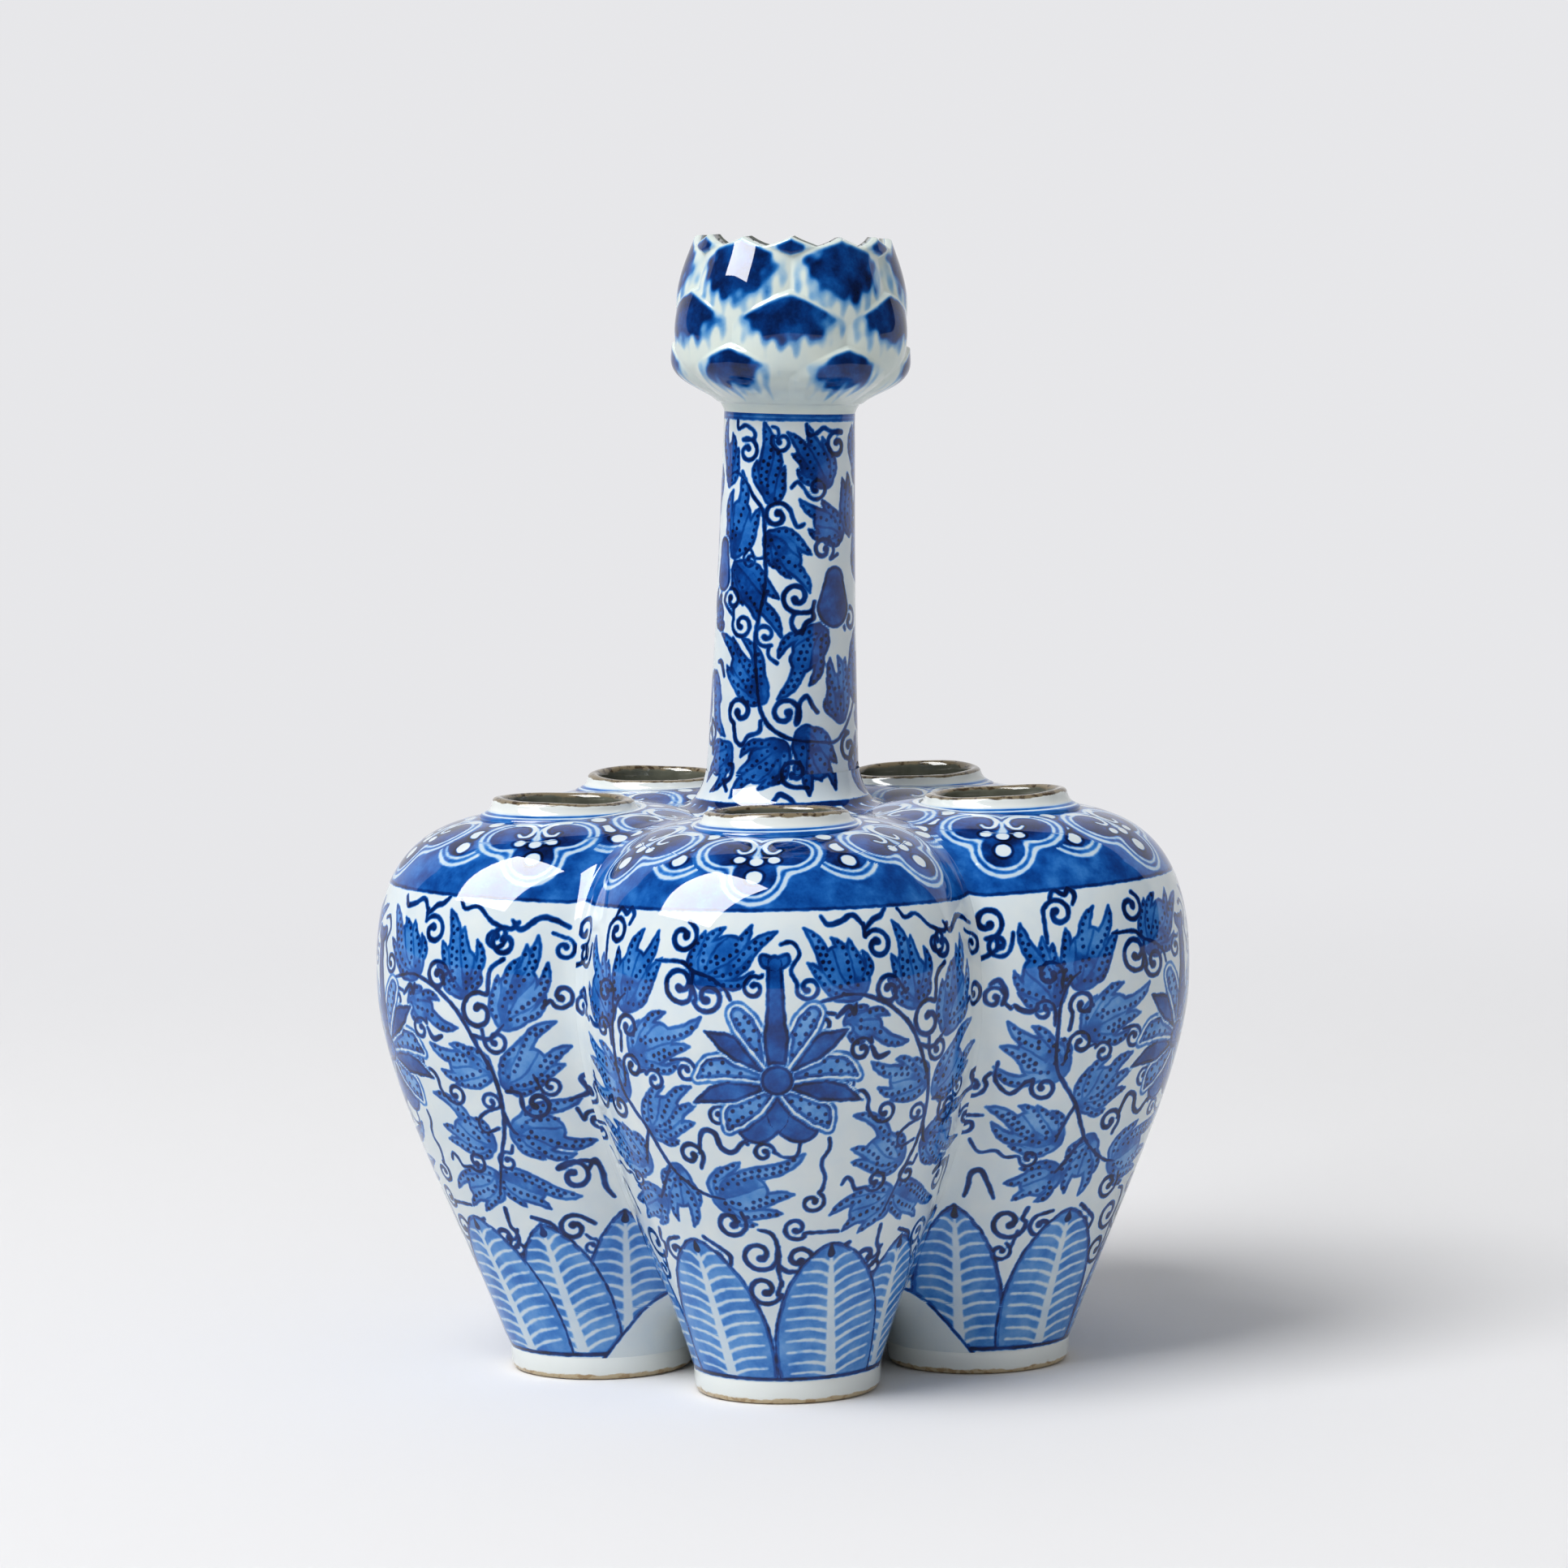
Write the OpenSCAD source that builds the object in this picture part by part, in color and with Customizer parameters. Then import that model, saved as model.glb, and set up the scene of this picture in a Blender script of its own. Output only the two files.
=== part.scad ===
// Five-lobed flower vase: five round-bellied lobes luted round a central bottle,
// each with its own mouth, and a tall neck that carries a lotus-bud mouth.
// Millimetres, +Z up, origin on the resting plane under the central bottle.
// The front lobe faces -Y.

/* [Lobes] */
// Radius of the circle that the five feet stand on
foot_circle_r = 42; // [41:0.5:44]
// Outward lean of each lobe from foot to mouth, in degrees
lobe_lean = 3; // [2:0.25:4]
// Radius of a lobe where it meets the foot ring
foot_r = 19.4; // [18:0.1:20.5]
// Radius of a lobe at its belly
belly_r = 42; // [40.5:0.1:43.5]
// Height of the belly, where the two halves of a lobe are luted
belly_z = 83; // [79:0.5:87]
// Height of the top of a lobe's shoulder
shoulder_z = 118.8; // [116:0.2:122]
// Wall thickness of a lobe
lobe_wall = 4; // [3:0.25:5]
// Width of the clay seam that joins a lobe to the next one
seam_w = 6; // [4:0.5:8]

/* [Mouths and feet] */
// Inner radius of a mouth
mouth_r = 12.4; // [11:0.1:13.5]
// Wall thickness of a mouth collar at its lip
lip_wall = 2.5; // [2:0.1:3.2]
// Radius of the hole in the shoulder that a mouth collar is luted into
collar_seat_r = 16.6; // [16:0.1:18]
// Height that a mouth collar stands above the shoulder
collar_rise = 2.6; // [2:0.1:4]
// Height of a foot ring
foot_ring_h = 5; // [4:0.25:7]
// Inner radius of a foot ring
foot_ring_bore_r = 14; // [12:0.25:15]
// Chamfer round the outer edge of a foot ring, where it meets the table
foot_chamfer = 0.8; // [0.3:0.1:1.5]
// Thickness of the disc that closes the bottom of a lobe
base_disc_h = 4; // [3:0.25:5]
// Radius of the disc that closes the bottom of a lobe
base_disc_r = 16.4; // [15.6:0.1:17]

/* [Central bottle] */
// Height of the underside of the central bottle
bottle_floor_z = 42; // [40:0.5:50]
// Outer radius of the central bottle at its floor
bottle_floor_r = 10; // [8.5:0.25:11]
// Thickness of the central bottle's floor disc
bottle_floor_h = 4; // [3:0.25:6]
// Height where the neck is luted onto the central bottle
neck_seat_z = 113; // [111:0.5:115]
// Outer radius of the neck at its seat
neck_base_r = 16.8; // [16:0.1:18.5]
// Outer radius of the neck at its top
neck_top_r = 13.9; // [13:0.1:15]
// Height of the neck's top, measured along the neck from the resting plane
neck_top_z = 201.4; // [190:0.2:215]
// Wall thickness of the neck and the central bottle
neck_wall = 3.4; // [2.8:0.1:4.5]
// Lean of the neck towards +X, in degrees
neck_lean = 2.2; // [0:0.1:2.5]
// Outer radius of the flared clay ring that joins the neck to the lobes' shoulders
flare_r = 24; // [22.5:0.5:26]
// Height of the flared ring where it dies into the neck
flare_top_z = 124; // [122:0.5:128]

/* [Lotus mouth] */
// Height of the lotus mouth from the neck's top to its petal tips
lotus_h = 37.2; // [34:0.2:41]
// Largest outer radius of the lotus cup, under its petals
lotus_r = 23.5; // [22.5:0.1:25]
// Outer radius of the lotus cup at its rim, under its petals
lotus_rim_r = 19; // [17:0.1:20.5]
// Wall thickness of the lotus cup
lotus_wall = 2.6; // [2.2:0.1:3.4]
// How far the tip of a petal stands proud of the cup
petal_depth = 1.2; // [0.8:0.1:1.8]
// How far the foot of a petal stands proud of the cup
petal_foot_depth = 0.3; // [0.2:0.05:0.5]
// Petals in each tier
petal_count = 6; // [5:1:8]
// Rise of a petal's tip above the valleys beside it
petal_point = 6; // [4:0.2:8]
// Rise of the tips above the notches along the rim
rim_point = 2.6; // [1.5:0.1:4]

/* [Hidden] */
$fn = 96;
LOBE_NAMES = ["front", "right", "back_right", "back_left", "left"];
PETAL_TIERS = ["lower", "middle", "upper"];

glaze_white = "#eef1ee";
cobalt = "#3f66b5";
cobalt_dark = "#2b4a96";
bare_clay = "#d8c7a8";

lobe_count = len(LOBE_NAMES);
lobe_step = 360 / lobe_count;
half_step = lobe_step / 2;
front_angle = -90;
curve_steps = 12;
big = 400;
eps = 0.01;
flare_foot_z = neck_seat_z - 2 * lobe_wall;
flare_edge_z = shoulder_z - 1.8;
flare_steps = 8;
bottle_top_r = neck_base_r - 0.7;
neck_dip = 3;

// The lobe's axis stands on the foot circle at the joint with the foot ring.
function axis_r(z) = foot_circle_r + (z - foot_ring_h) * tan(lobe_lean);
mouth_circle_r = axis_r(shoulder_z);
rim_z = shoulder_z + collar_rise;
collar_foot_z = shoulder_z - lobe_wall - 0.6;
lip_r = mouth_r + lip_wall;

// Cubic Bezier curves, as a list of four [r, z] points
function bezier(p, t) = pow(1 - t, 3) * p[0] + 3 * t * pow(1 - t, 2) * p[1]
    + 3 * t * t * (1 - t) * p[2] + pow(t, 3) * p[3];
function slope(p, t) = 3 * pow(1 - t, 2) * (p[1] - p[0]) + 6 * t * (1 - t) * (p[2] - p[1])
    + 3 * t * t * (p[3] - p[2]);
function left_of(v) = [-v[1], v[0]] / norm(v);
function curve(p, inset = 0, n = curve_steps) =
    [for (k = [0 : n]) bezier(p, k / n) + inset * left_of(slope(p, k / n))];
function reversed(a) = [for (k = [len(a) - 1 : -1 : 0]) a[k]];
function past_first(a) = [for (k = [1 : len(a) - 1]) a[k]];

// Outlines of a lobe, foot to belly and belly to shoulder, as [r, z] on the lobe's own axis
shoulder_end_r = collar_seat_r - 3;
foot_start_z = foot_ring_h - lobe_wall / 2;
lower_h = belly_z - foot_ring_h;
upper_h = shoulder_z - belly_z;
lower_outline = [
    [foot_r - 0.5, foot_start_z],
    [foot_r + (belly_r - foot_r) * 0.26, foot_ring_h + lower_h * 0.28],
    [belly_r, belly_z - lower_h * 0.27],
    [belly_r, belly_z]
];
upper_outline = [
    [belly_r, belly_z],
    [belly_r, belly_z + upper_h * 0.64],
    [belly_r * 5 / 6, shoulder_z],
    [shoulder_end_r, shoulder_z]
];

// The lotus cup's outer outline on the neck's axis, heights above the neck's top
cup_low = lotus_h * 0.30;
cup_high = lotus_h * 0.58;
cup_lower_outline = [
    [neck_top_r, 0],
    [neck_top_r + 1.4, cup_low * 0.45],
    [lotus_r - 0.4, cup_low * 0.40],
    [lotus_r, cup_low]
];
cup_upper_outline = [
    [lotus_r, cup_low],
    [lotus_r + 0.5, cup_high],
    [lotus_r + 0.3, cup_high],
    [lotus_rim_r, lotus_h]
];

// Places
module at_lobe(i) {
    rotate([0, 0, front_angle + lobe_step * i]) children();
}
module on_lobe_axis() {
    translate([foot_circle_r, 0, foot_ring_h]) rotate([0, lobe_lean, 0])
        translate([0, 0, -foot_ring_h]) children();
}
module on_neck_axis() {
    translate([0, 0, neck_seat_z]) rotate([0, neck_lean, 0])
        translate([0, 0, -neck_seat_z]) children();
}
module lobe_share() {
    near = seam_w / 2 / sin(half_step);
    far = big * tan(half_step);
    translate([near, 0, 0]) linear_extrude(height = big)
        polygon([[0, 0], [big, -far], [big, far]]);
}

// Solids that the pieces are cut with
module bottle_outside() {
    translate([0, 0, bottle_floor_z])
        cylinder(r1 = bottle_floor_r, r2 = bottle_top_r, h = neck_seat_z - bottle_floor_z);
}
module neck_taper(inset) {
    on_neck_axis() translate([0, 0, neck_seat_z - neck_dip]) cylinder(
        r1 = neck_base_r - inset, r2 = neck_top_r - inset,
        h = neck_top_z - neck_seat_z + neck_dip);
}
module neck_outside() {
    intersection() {
        neck_taper(0);
        translate([0, 0, neck_seat_z]) cylinder(r = 2 * lotus_r, h = neck_top_z);
    }
}

// A lobe, in two halves luted at the belly and cut flat against its neighbours
module lobe_lower() {
    color(cobalt) difference() {
        intersection() {
            on_lobe_axis() rotate_extrude() polygon(concat(
                curve(lower_outline), reversed(curve(lower_outline, lobe_wall))));
            translate([0, 0, foot_ring_h]) lobe_share();
        }
        base_disc();
        bottle_outside();
    }
}
module lobe_upper() {
    color(cobalt) difference() {
        intersection() {
            on_lobe_axis() rotate_extrude() polygon(concat(
                curve(upper_outline), reversed(curve(upper_outline, lobe_wall))));
            lobe_share();
        }
        translate([mouth_circle_r, 0, belly_z]) cylinder(r = collar_seat_r, h = big);
        bottle_outside();
        translate([0, 0, belly_z]) cylinder(r = flare_r, h = big);
    }
}

// The upright collar of a mouth, luted into the hole in the shoulder
module mouth_collar() {
    color(glaze_white) translate([mouth_circle_r, 0, 0]) rotate_extrude() polygon([
        [mouth_r, collar_foot_z],
        [collar_seat_r, collar_foot_z],
        [collar_seat_r, shoulder_z - 0.2],
        [lip_r + 0.6, shoulder_z + collar_rise * 0.35],
        [lip_r, shoulder_z + collar_rise * 0.7],
        [lip_r - 0.5, rim_z],
        [mouth_r + 0.5, rim_z],
        [mouth_r, rim_z - 0.6]
    ]);
}

// The foot ring that a lobe stands on, and the disc that closes the lobe above it
module foot_ring() {
    color(bare_clay) translate([foot_circle_r, 0, 0]) rotate_extrude() polygon([
        [foot_ring_bore_r, 0],
        [foot_r - foot_chamfer - 0.3, 0],
        [foot_r - 0.2, foot_chamfer],
        [foot_r, foot_ring_h],
        [foot_ring_bore_r, foot_ring_h]
    ]);
}
module base_disc() {
    color(glaze_white) translate([foot_circle_r, 0, foot_ring_h])
        cylinder(r = base_disc_r, h = base_disc_h);
}

// The clay seam between a lobe and the next one, counter-clockwise: a plate with the lobes'
// own section where they meet, and a window that lets water pass from lobe to lobe.
function seam_reach(p) = axis_r(p[1]) * sin(half_step) - seam_w / 2;
function seam_half_chord(p) = sqrt(p[0] * p[0] - pow(seam_reach(p), 2));
function seam_points(inset, side) = [
    for (p = concat(curve(lower_outline, inset), past_first(curve(upper_outline, inset))))
        if (p[0] > seam_reach(p) && p[1] > foot_ring_h)
            [axis_r(p[1]) * cos(half_step) + side * seam_half_chord(p), p[1]]
];
module seam_section(inset) {
    polygon(concat(seam_points(inset, 1), reversed(seam_points(inset, -1))));
}
module seam() {
    color(cobalt) difference() {
        rotate([90, 0, half_step]) linear_extrude(height = seam_w, center = true) difference() {
            seam_section(0);
            seam_section(lobe_wall);
        }
        bottle_outside();
        translate([0, 0, flare_foot_z]) cylinder(r = flare_r, h = big);
    }
}

// The central bottle between the lobes, with its floor and its leaning neck
module bottle_wall() {
    color(glaze_white) difference() {
        bottle_outside();
        translate([0, 0, bottle_floor_z]) cylinder(
            r1 = bottle_floor_r - neck_wall, r2 = bottle_top_r - neck_wall,
            h = neck_seat_z - bottle_floor_z);
    }
}
module bottle_floor() {
    floor_rise = (bottle_top_r - bottle_floor_r) * bottle_floor_h / (neck_seat_z - bottle_floor_z);
    color(glaze_white) translate([0, 0, bottle_floor_z]) cylinder(
        r1 = bottle_floor_r - neck_wall, r2 = bottle_floor_r - neck_wall + floor_rise,
        h = bottle_floor_h);
}
module neck() {
    color(cobalt) difference() {
        neck_outside();
        neck_taper(neck_wall);
    }
}
module neck_flare() {
    color(cobalt) difference() {
        rotate_extrude() polygon(concat(
            [[bottle_floor_r, flare_foot_z], [flare_r, flare_foot_z]],
            curve([
                [flare_r, flare_edge_z],
                [flare_r - 3, flare_edge_z + 0.6],
                [neck_base_r + 1, flare_edge_z + 1.2],
                [neck_base_r - 0.6, flare_top_z]
            ], n = flare_steps),
            [[bottle_floor_r, flare_top_z]]
        ));
        bottle_outside();
        neck_outside();
    }
}

// The lotus mouth: a cup luted on the neck's top, with three tiers of moulded petals.
// A tier's upper edge is a row of points, cut by notches halfway between its petals.
cup_outline = concat(curve(cup_lower_outline), past_first(curve(cup_upper_outline)));
cup_inside = concat(curve(cup_lower_outline, lotus_wall),
    past_first(curve(cup_upper_outline, lotus_wall)));
function cup_r(z) = lookup(z, [for (p = cup_outline) [p[1], p[0]]]);
function cup_points(z0, z1) = concat(
    [[cup_r(z0), z0]],
    [for (p = cup_outline) if (p[1] > z0 + eps && p[1] < z1 - eps) p],
    [[cup_r(z1), z1]]
);
petal_step = 360 / petal_count;
tier_tips = [lotus_h * 0.385, lotus_h * 0.69, lotus_h];
tier_feet = [lotus_h * 0.10, tier_tips[0] - petal_point, tier_tips[1] - petal_point];
tier_points = [petal_point, petal_point, rim_point];
tier_phase = [0.5, 0, 0.5];
module on_neck_top() {
    on_neck_axis() translate([0, 0, neck_top_z]) children();
}
module notches(tip, point, phase) {
    reach = (lotus_r + petal_depth) * tan(petal_step / 2) + 0.5;
    for (k = [0 : petal_count - 1])
        rotate([0, 0, front_angle + petal_step * (k + phase + 0.5)])
            rotate([90, 0, 90]) linear_extrude(height = 2 * lotus_r) polygon([
                [0, tip - point],
                [reach * 0.45, tip - point * 0.62],
                [reach * 0.8, tip - point * 0.3],
                [reach, tip],
                [reach, tip + point],
                [-reach, tip + point],
                [-reach, tip],
                [-reach * 0.8, tip - point * 0.3],
                [-reach * 0.45, tip - point * 0.62]
            ]);
}
module tier_band(t) {
    foot = tier_feet[t];
    tip = tier_tips[t];
    inner = cup_points(foot, tip);
    outer = [for (p = inner) p + [petal_foot_depth
        + (petal_depth - petal_foot_depth) * (p[1] - foot) / (tip - foot), 0]];
    difference() {
        rotate_extrude() polygon(concat(outer, reversed(inner)));
        notches(tip, tier_points[t], tier_phase[t]);
    }
}
module lotus_cup() {
    color(glaze_white) on_neck_top() difference() {
        rotate_extrude() polygon(concat(
            [[neck_top_r - neck_wall, 0]], cup_outline, reversed(cup_inside)));
        notches(lotus_h, rim_point, 0);
    }
}
module lotus_petals(t) {
    color(cobalt_dark) on_neck_top() difference() {
        tier_band(t);
        if (t > 0) tier_band(t - 1);
    }
}

for (i = [0 : lobe_count - 1]) {
    name = LOBE_NAMES[i];
    at_lobe(i) lobe_lower();
    at_lobe(i) lobe_upper();
    at_lobe(i) mouth_collar();
    at_lobe(i) foot_ring();
    at_lobe(i) base_disc();
    at_lobe(i) seam();
}
bottle_wall();
bottle_floor();
neck();
neck_flare();
lotus_cup();
for (t = [0 : len(PETAL_TIERS) - 1])
    lotus_petals(t);
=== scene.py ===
# %% [markdown]
# # A five-lobed tulip vase in blue and white
#
# The vase is thrown porcelain: five round-bellied pots luted side by side round a tall
# neck, each with its own mouth, and a moulded lotus on the neck's top. It is painted in
# cobalt under a clear glaze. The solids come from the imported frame; this lesson gives
# them skins with the painter's brushwork, soft seams, glaze, light and a camera.

# %% Load the frame
import math

import bpy
import numpy as np
from mathutils import Euler, Matrix


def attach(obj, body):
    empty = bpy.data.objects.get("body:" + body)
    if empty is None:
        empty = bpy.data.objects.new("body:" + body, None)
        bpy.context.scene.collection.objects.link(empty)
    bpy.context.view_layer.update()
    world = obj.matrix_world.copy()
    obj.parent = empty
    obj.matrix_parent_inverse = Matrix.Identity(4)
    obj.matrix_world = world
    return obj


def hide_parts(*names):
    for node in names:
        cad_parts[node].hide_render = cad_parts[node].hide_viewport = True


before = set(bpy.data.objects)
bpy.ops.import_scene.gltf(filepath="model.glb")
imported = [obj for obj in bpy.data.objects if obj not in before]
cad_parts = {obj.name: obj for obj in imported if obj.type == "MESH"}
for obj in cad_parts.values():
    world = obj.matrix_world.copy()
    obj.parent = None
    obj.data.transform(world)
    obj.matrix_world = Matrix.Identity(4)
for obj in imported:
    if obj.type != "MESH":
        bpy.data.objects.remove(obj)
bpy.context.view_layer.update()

for left_over in ("Cube", "Light", "Camera"):
    if left_over in bpy.data.objects:
        bpy.data.objects.remove(bpy.data.objects[left_over])
MM = 0.001
LOBES = ("front", "right", "back_right", "back_left", "left")
LOBE_STEP = math.tau / len(LOBES)
FRONT_ANGLE = -math.pi / 2
print("solids in the frame:", len(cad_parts))

# %% [markdown]
# ## Camera
#
# The photograph was taken from slightly above with a long lens. The camera's distance,
# height and tilt were fitted to the feet, mouths, neck and outline in the photograph, so
# a point of the solids falls on the same place of the picture.

# %% Camera
CAMERA_DISTANCE = 1.266
CAMERA_HEIGHT = 0.2416
CAMERA_TILT = math.radians(5.39)
CAMERA_TURN = math.radians(1.19)
CAMERA_ROLL = math.radians(-1.08)
CAMERA_SIDE = 0.0270
LENS_MM = 136.9

camera = bpy.data.objects.new("camera", bpy.data.cameras.new("camera"))
camera.data.lens = LENS_MM
camera.data.sensor_width = 36
camera.data.clip_end = 20
camera.location = (CAMERA_SIDE, -CAMERA_DISTANCE, CAMERA_HEIGHT)
aim = Euler((math.pi / 2 - CAMERA_TILT, 0, CAMERA_TURN)).to_matrix()
camera.rotation_euler = (aim @ Matrix.Rotation(CAMERA_ROLL, 3, "Z")).to_euler()
bpy.context.collection.objects.link(camera)
bpy.context.scene.camera = camera
print("camera at", [round(c, 3) for c in camera.location])

# %% [markdown]
# ## The lobe's outline
#
# A lobe is a thrown pot, so one outline turned about its own axis gives its surface. The
# outline is two cubic curves, foot to belly and belly to shoulder, with the sizes of the
# solids. Heights along it are counted as *climb*, the length along the wall from the
# belly line, because a painter works along the wall too. All sizes here are in mm.

# %% Outline of a lobe
FOOT_CIRCLE_R, LOBE_LEAN = 42.0, math.radians(3)
FOOT_R, FOOT_H = 19.4, 5.0
BELLY_R, BELLY_Z, SHOULDER_Z = 42.0, 83.0, 118.8
WALL, COLLAR_SEAT_R = 4.0, 16.6
LOWER_H, UPPER_H = BELLY_Z - FOOT_H, SHOULDER_Z - BELLY_Z


def bezier(points, t):
    p = np.array(points, float)
    t = np.asarray(t, float)[..., None]
    return ((1 - t) ** 3 * p[0] + 3 * t * (1 - t) ** 2 * p[1]
            + 3 * t * t * (1 - t) * p[2] + t ** 3 * p[3])


STEPS = np.linspace(0, 1, 300)
lower_curve = bezier([(FOOT_R - 0.5, FOOT_H - WALL / 2),
                      (FOOT_R + (BELLY_R - FOOT_R) * 0.26, FOOT_H + LOWER_H * 0.28),
                      (BELLY_R, BELLY_Z - LOWER_H * 0.27), (BELLY_R, BELLY_Z)], STEPS)
upper_curve = bezier([(BELLY_R, BELLY_Z), (BELLY_R, BELLY_Z + UPPER_H * 0.64),
                      (BELLY_R * 5 / 6, SHOULDER_Z), (COLLAR_SEAT_R - 3, SHOULDER_Z)], STEPS)
OUTLINE = np.vstack([lower_curve, upper_curve[1:]])
CLIMB = np.concatenate([[0], np.cumsum(np.hypot(*np.diff(OUTLINE, axis=0).T))])
CLIMB -= CLIMB[len(lower_curve) - 1]
along = np.gradient(OUTLINE, CLIMB, axis=0)
OUTWARD = np.stack([along[:, 1], -along[:, 0]], 1)


def wall_at(climb):
    """Radius, height and outward direction of the lobe's wall at a climb."""
    return [np.interp(climb, CLIMB, column)
            for column in (OUTLINE[:, 0], OUTLINE[:, 1], OUTWARD[:, 0], OUTWARD[:, 1])]


def lobe_point(turn, climb, out):
    """A point of a lobe that faces +X, pushed out from its wall, on its leaning axis."""
    r, z, out_r, out_z = wall_at(climb)
    r, z = r + out * out_r, z + out * out_z - FOOT_H
    x, y = r * np.cos(turn), r * np.sin(turn)
    return np.stack([FOOT_CIRCLE_R + x * math.cos(LOBE_LEAN) + z * math.sin(LOBE_LEAN), y,
                     FOOT_H - x * math.sin(LOBE_LEAN) + z * math.cos(LOBE_LEAN)], -1)


print("climb from", CLIMB[0].round(1), "to", CLIMB[-1].round(1), "mm")

# %% [markdown]
# ## Soft seams
#
# Where two pots touch, the potter smears slip into the valley, so the seam is a hollow
# and not a crease. A bevel would need a clean edge to work on. A *smooth union* needs
# none: near the plane between two lobes each wall is pushed out a little, most at the
# plane itself. The slip is narrow down the belly and wider on top and at the arch between
# two feet, which it rounds. The distance to the neighbour is the distance of the mirrored
# point to this lobe, because the lobes are alike.

# %% Seams between the lobes
SEAM_CLIMBS, SEAM_SOFTNESS = (-68.0, -52.0, 40.0, 50.0), (11.0, 4.5, 4.5, 8.0)
SEAM_OVERLAP = 0.4
SEAM_FROM, LEAST_SEAM_TURN = math.radians(35), 0.6
PUSH_ROUNDS, HALVINGS, BATCH = 4, 40, 20000
HALF_STEP = LOBE_STEP / 2
SIDE = math.pi / 2 + HALF_STEP


def mirrored(p):
    """The point seen from the neighbour on its side."""
    x, y = p[:, 0], np.abs(p[:, 1])
    c, s = math.cos(LOBE_STEP), math.sin(LOBE_STEP)
    return np.stack([x * c + y * s, x * s - y * c, p[:, 2]], 1)


def softness(climb):
    """How wide the slip is smeared: tight down the belly, wide at the arch and on top."""
    return np.interp(climb, SEAM_CLIMBS, SEAM_SOFTNESS)


def distance_to_lobe(p):
    """Signed distance from the wall of the lobe that faces +X."""
    x, z = p[:, 0] - FOOT_CIRCLE_R, p[:, 2] - FOOT_H
    flat = np.stack([np.hypot(x * math.cos(LOBE_LEAN) - z * math.sin(LOBE_LEAN), p[:, 1]),
                     FOOT_H + x * math.sin(LOBE_LEAN) + z * math.cos(LOBE_LEAN)], 1)
    result = np.empty(len(p))
    wall, normal = OUTLINE[::4], OUTWARD[::4]
    for start in range(0, len(p), BATCH):
        gap = flat[start:start + BATCH, None] - wall[None]
        nearest = np.argmin((gap ** 2).sum(2), 1)
        rows = np.arange(len(nearest))
        result[start:start + BATCH] = (gap[rows, nearest] * normal[nearest]).sum(1)
    return result


def softened(turn, climb):
    """The lobe's surface with its seams filled: points on a grid of turns and climbs."""
    out = np.zeros(turn.size)
    turn_flat, climb_flat = turn.ravel(), climb.ravel()
    close = np.abs(turn_flat) > SEAM_FROM
    soft = softness(climb_flat[close])
    for _ in range(PUSH_ROUNDS):
        p = lobe_point(turn_flat[close], climb_flat[close], out[close])
        gap = distance_to_lobe(mirrored(p)) - out[close]
        out[close] = soft / 4 * np.clip(1 - gap / soft, 0, 1) ** 2
    return lobe_point(turn_flat, climb_flat, out).reshape(*turn.shape, 3)


def beyond_seam(turn, climb):
    """How far a point of the filled wall lies past the plane between two lobes."""
    p = lobe_point(turn, climb, softness(climb) / 4)
    past = p[..., 1] * math.cos(HALF_STEP) - p[..., 0] * math.sin(HALF_STEP)
    return past - SEAM_OVERLAP


def seam_turn(climb, far):
    """The turn at which a row of the wall meets its neighbour, on the near or far side."""
    low = np.full(climb.shape, SIDE if far else LEAST_SEAM_TURN)
    high = np.full(climb.shape, math.pi if far else SIDE)
    for _ in range(HALVINGS):
        middle = (low + high) / 2
        inside = (beyond_seam(middle, climb) < 0) != far
        low, high = np.where(inside, middle, low), np.where(inside, high, middle)
    touching = beyond_seam(np.full(climb.shape, SIDE), climb) > 0
    return np.where(touching, (low + high) / 2, SIDE)


print("seam at the belly:", round(math.degrees(seam_turn(np.zeros(1), False)[0]), 1), "degrees")

# %% [markdown]
# ## Brushwork as distances
#
# The painter works with two things: a wash and a dark line. Both are kept on the mesh as
# *signed distances* in mm, below zero inside the paint. A colour kept at each vertex would
# blur, but a distance changes evenly from vertex to vertex, so the material can cut a
# crisp edge from it even between vertices. White veins and the folds of a leaf are two
# more distances, and `shade` says how deep the wash is. One shape draws nearly all of it:
# the brush stroke, a path with a half width at each point. Each motif is laid out round
# its own middle, so that it isn't sheared where the wall narrows.

# %% The brush
FAR = 9.0
PAINT_LAYERS = ("wash", "line", "vein", "fold", "shade")
SKIN_LAYERS = PAINT_LAYERS + ("inside",)
STROKE_REACH, LINE_REACH, DOT_REACH, LEAF_REACH = 3.5, 1.5, 2, 5


def smooth_path(points, steps=6):
    """A curve through the points, as a loaded brush would follow them."""
    p = np.array(points, float)
    if len(p) < 3:
        return p
    p = np.vstack([2 * p[0] - p[1], p, 2 * p[-1] - p[-2]])
    t = np.linspace(0, 1, steps, endpoint=False)[:, None]
    parts = [0.5 * (2 * b + (c - a) * t + (2 * a - 5 * b + 4 * c - d) * t ** 2
                    + (3 * b - a - 3 * c + d) * t ** 3)
             for a, b, c, d in zip(p[:-3], p[1:-2], p[2:-1], p[3:])]
    return np.vstack(parts + [p[-2:-1]])


def stroke_distance(spots, path, widths):
    """Signed distance of spots from a stroke of changing half width."""
    widths = np.broadcast_to(np.asarray(widths, float), len(path))
    best = np.full(len(spots), FAR)
    for a, b, wide_a, wide_b in zip(path[:-1], path[1:], widths[:-1], widths[1:]):
        span = b - a
        t = np.clip((spots - a) @ span / max(span @ span, 1e-9), 0, 1)
        gap = np.hypot(*(spots - a - t[:, None] * span).T) - (wide_a + t * (wide_b - wide_a))
        best = np.minimum(best, gap)
    return best


def signed_turn(turn):
    """A turn brought between minus half and half a round."""
    return np.mod(turn + math.pi, math.tau) - math.pi


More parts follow.
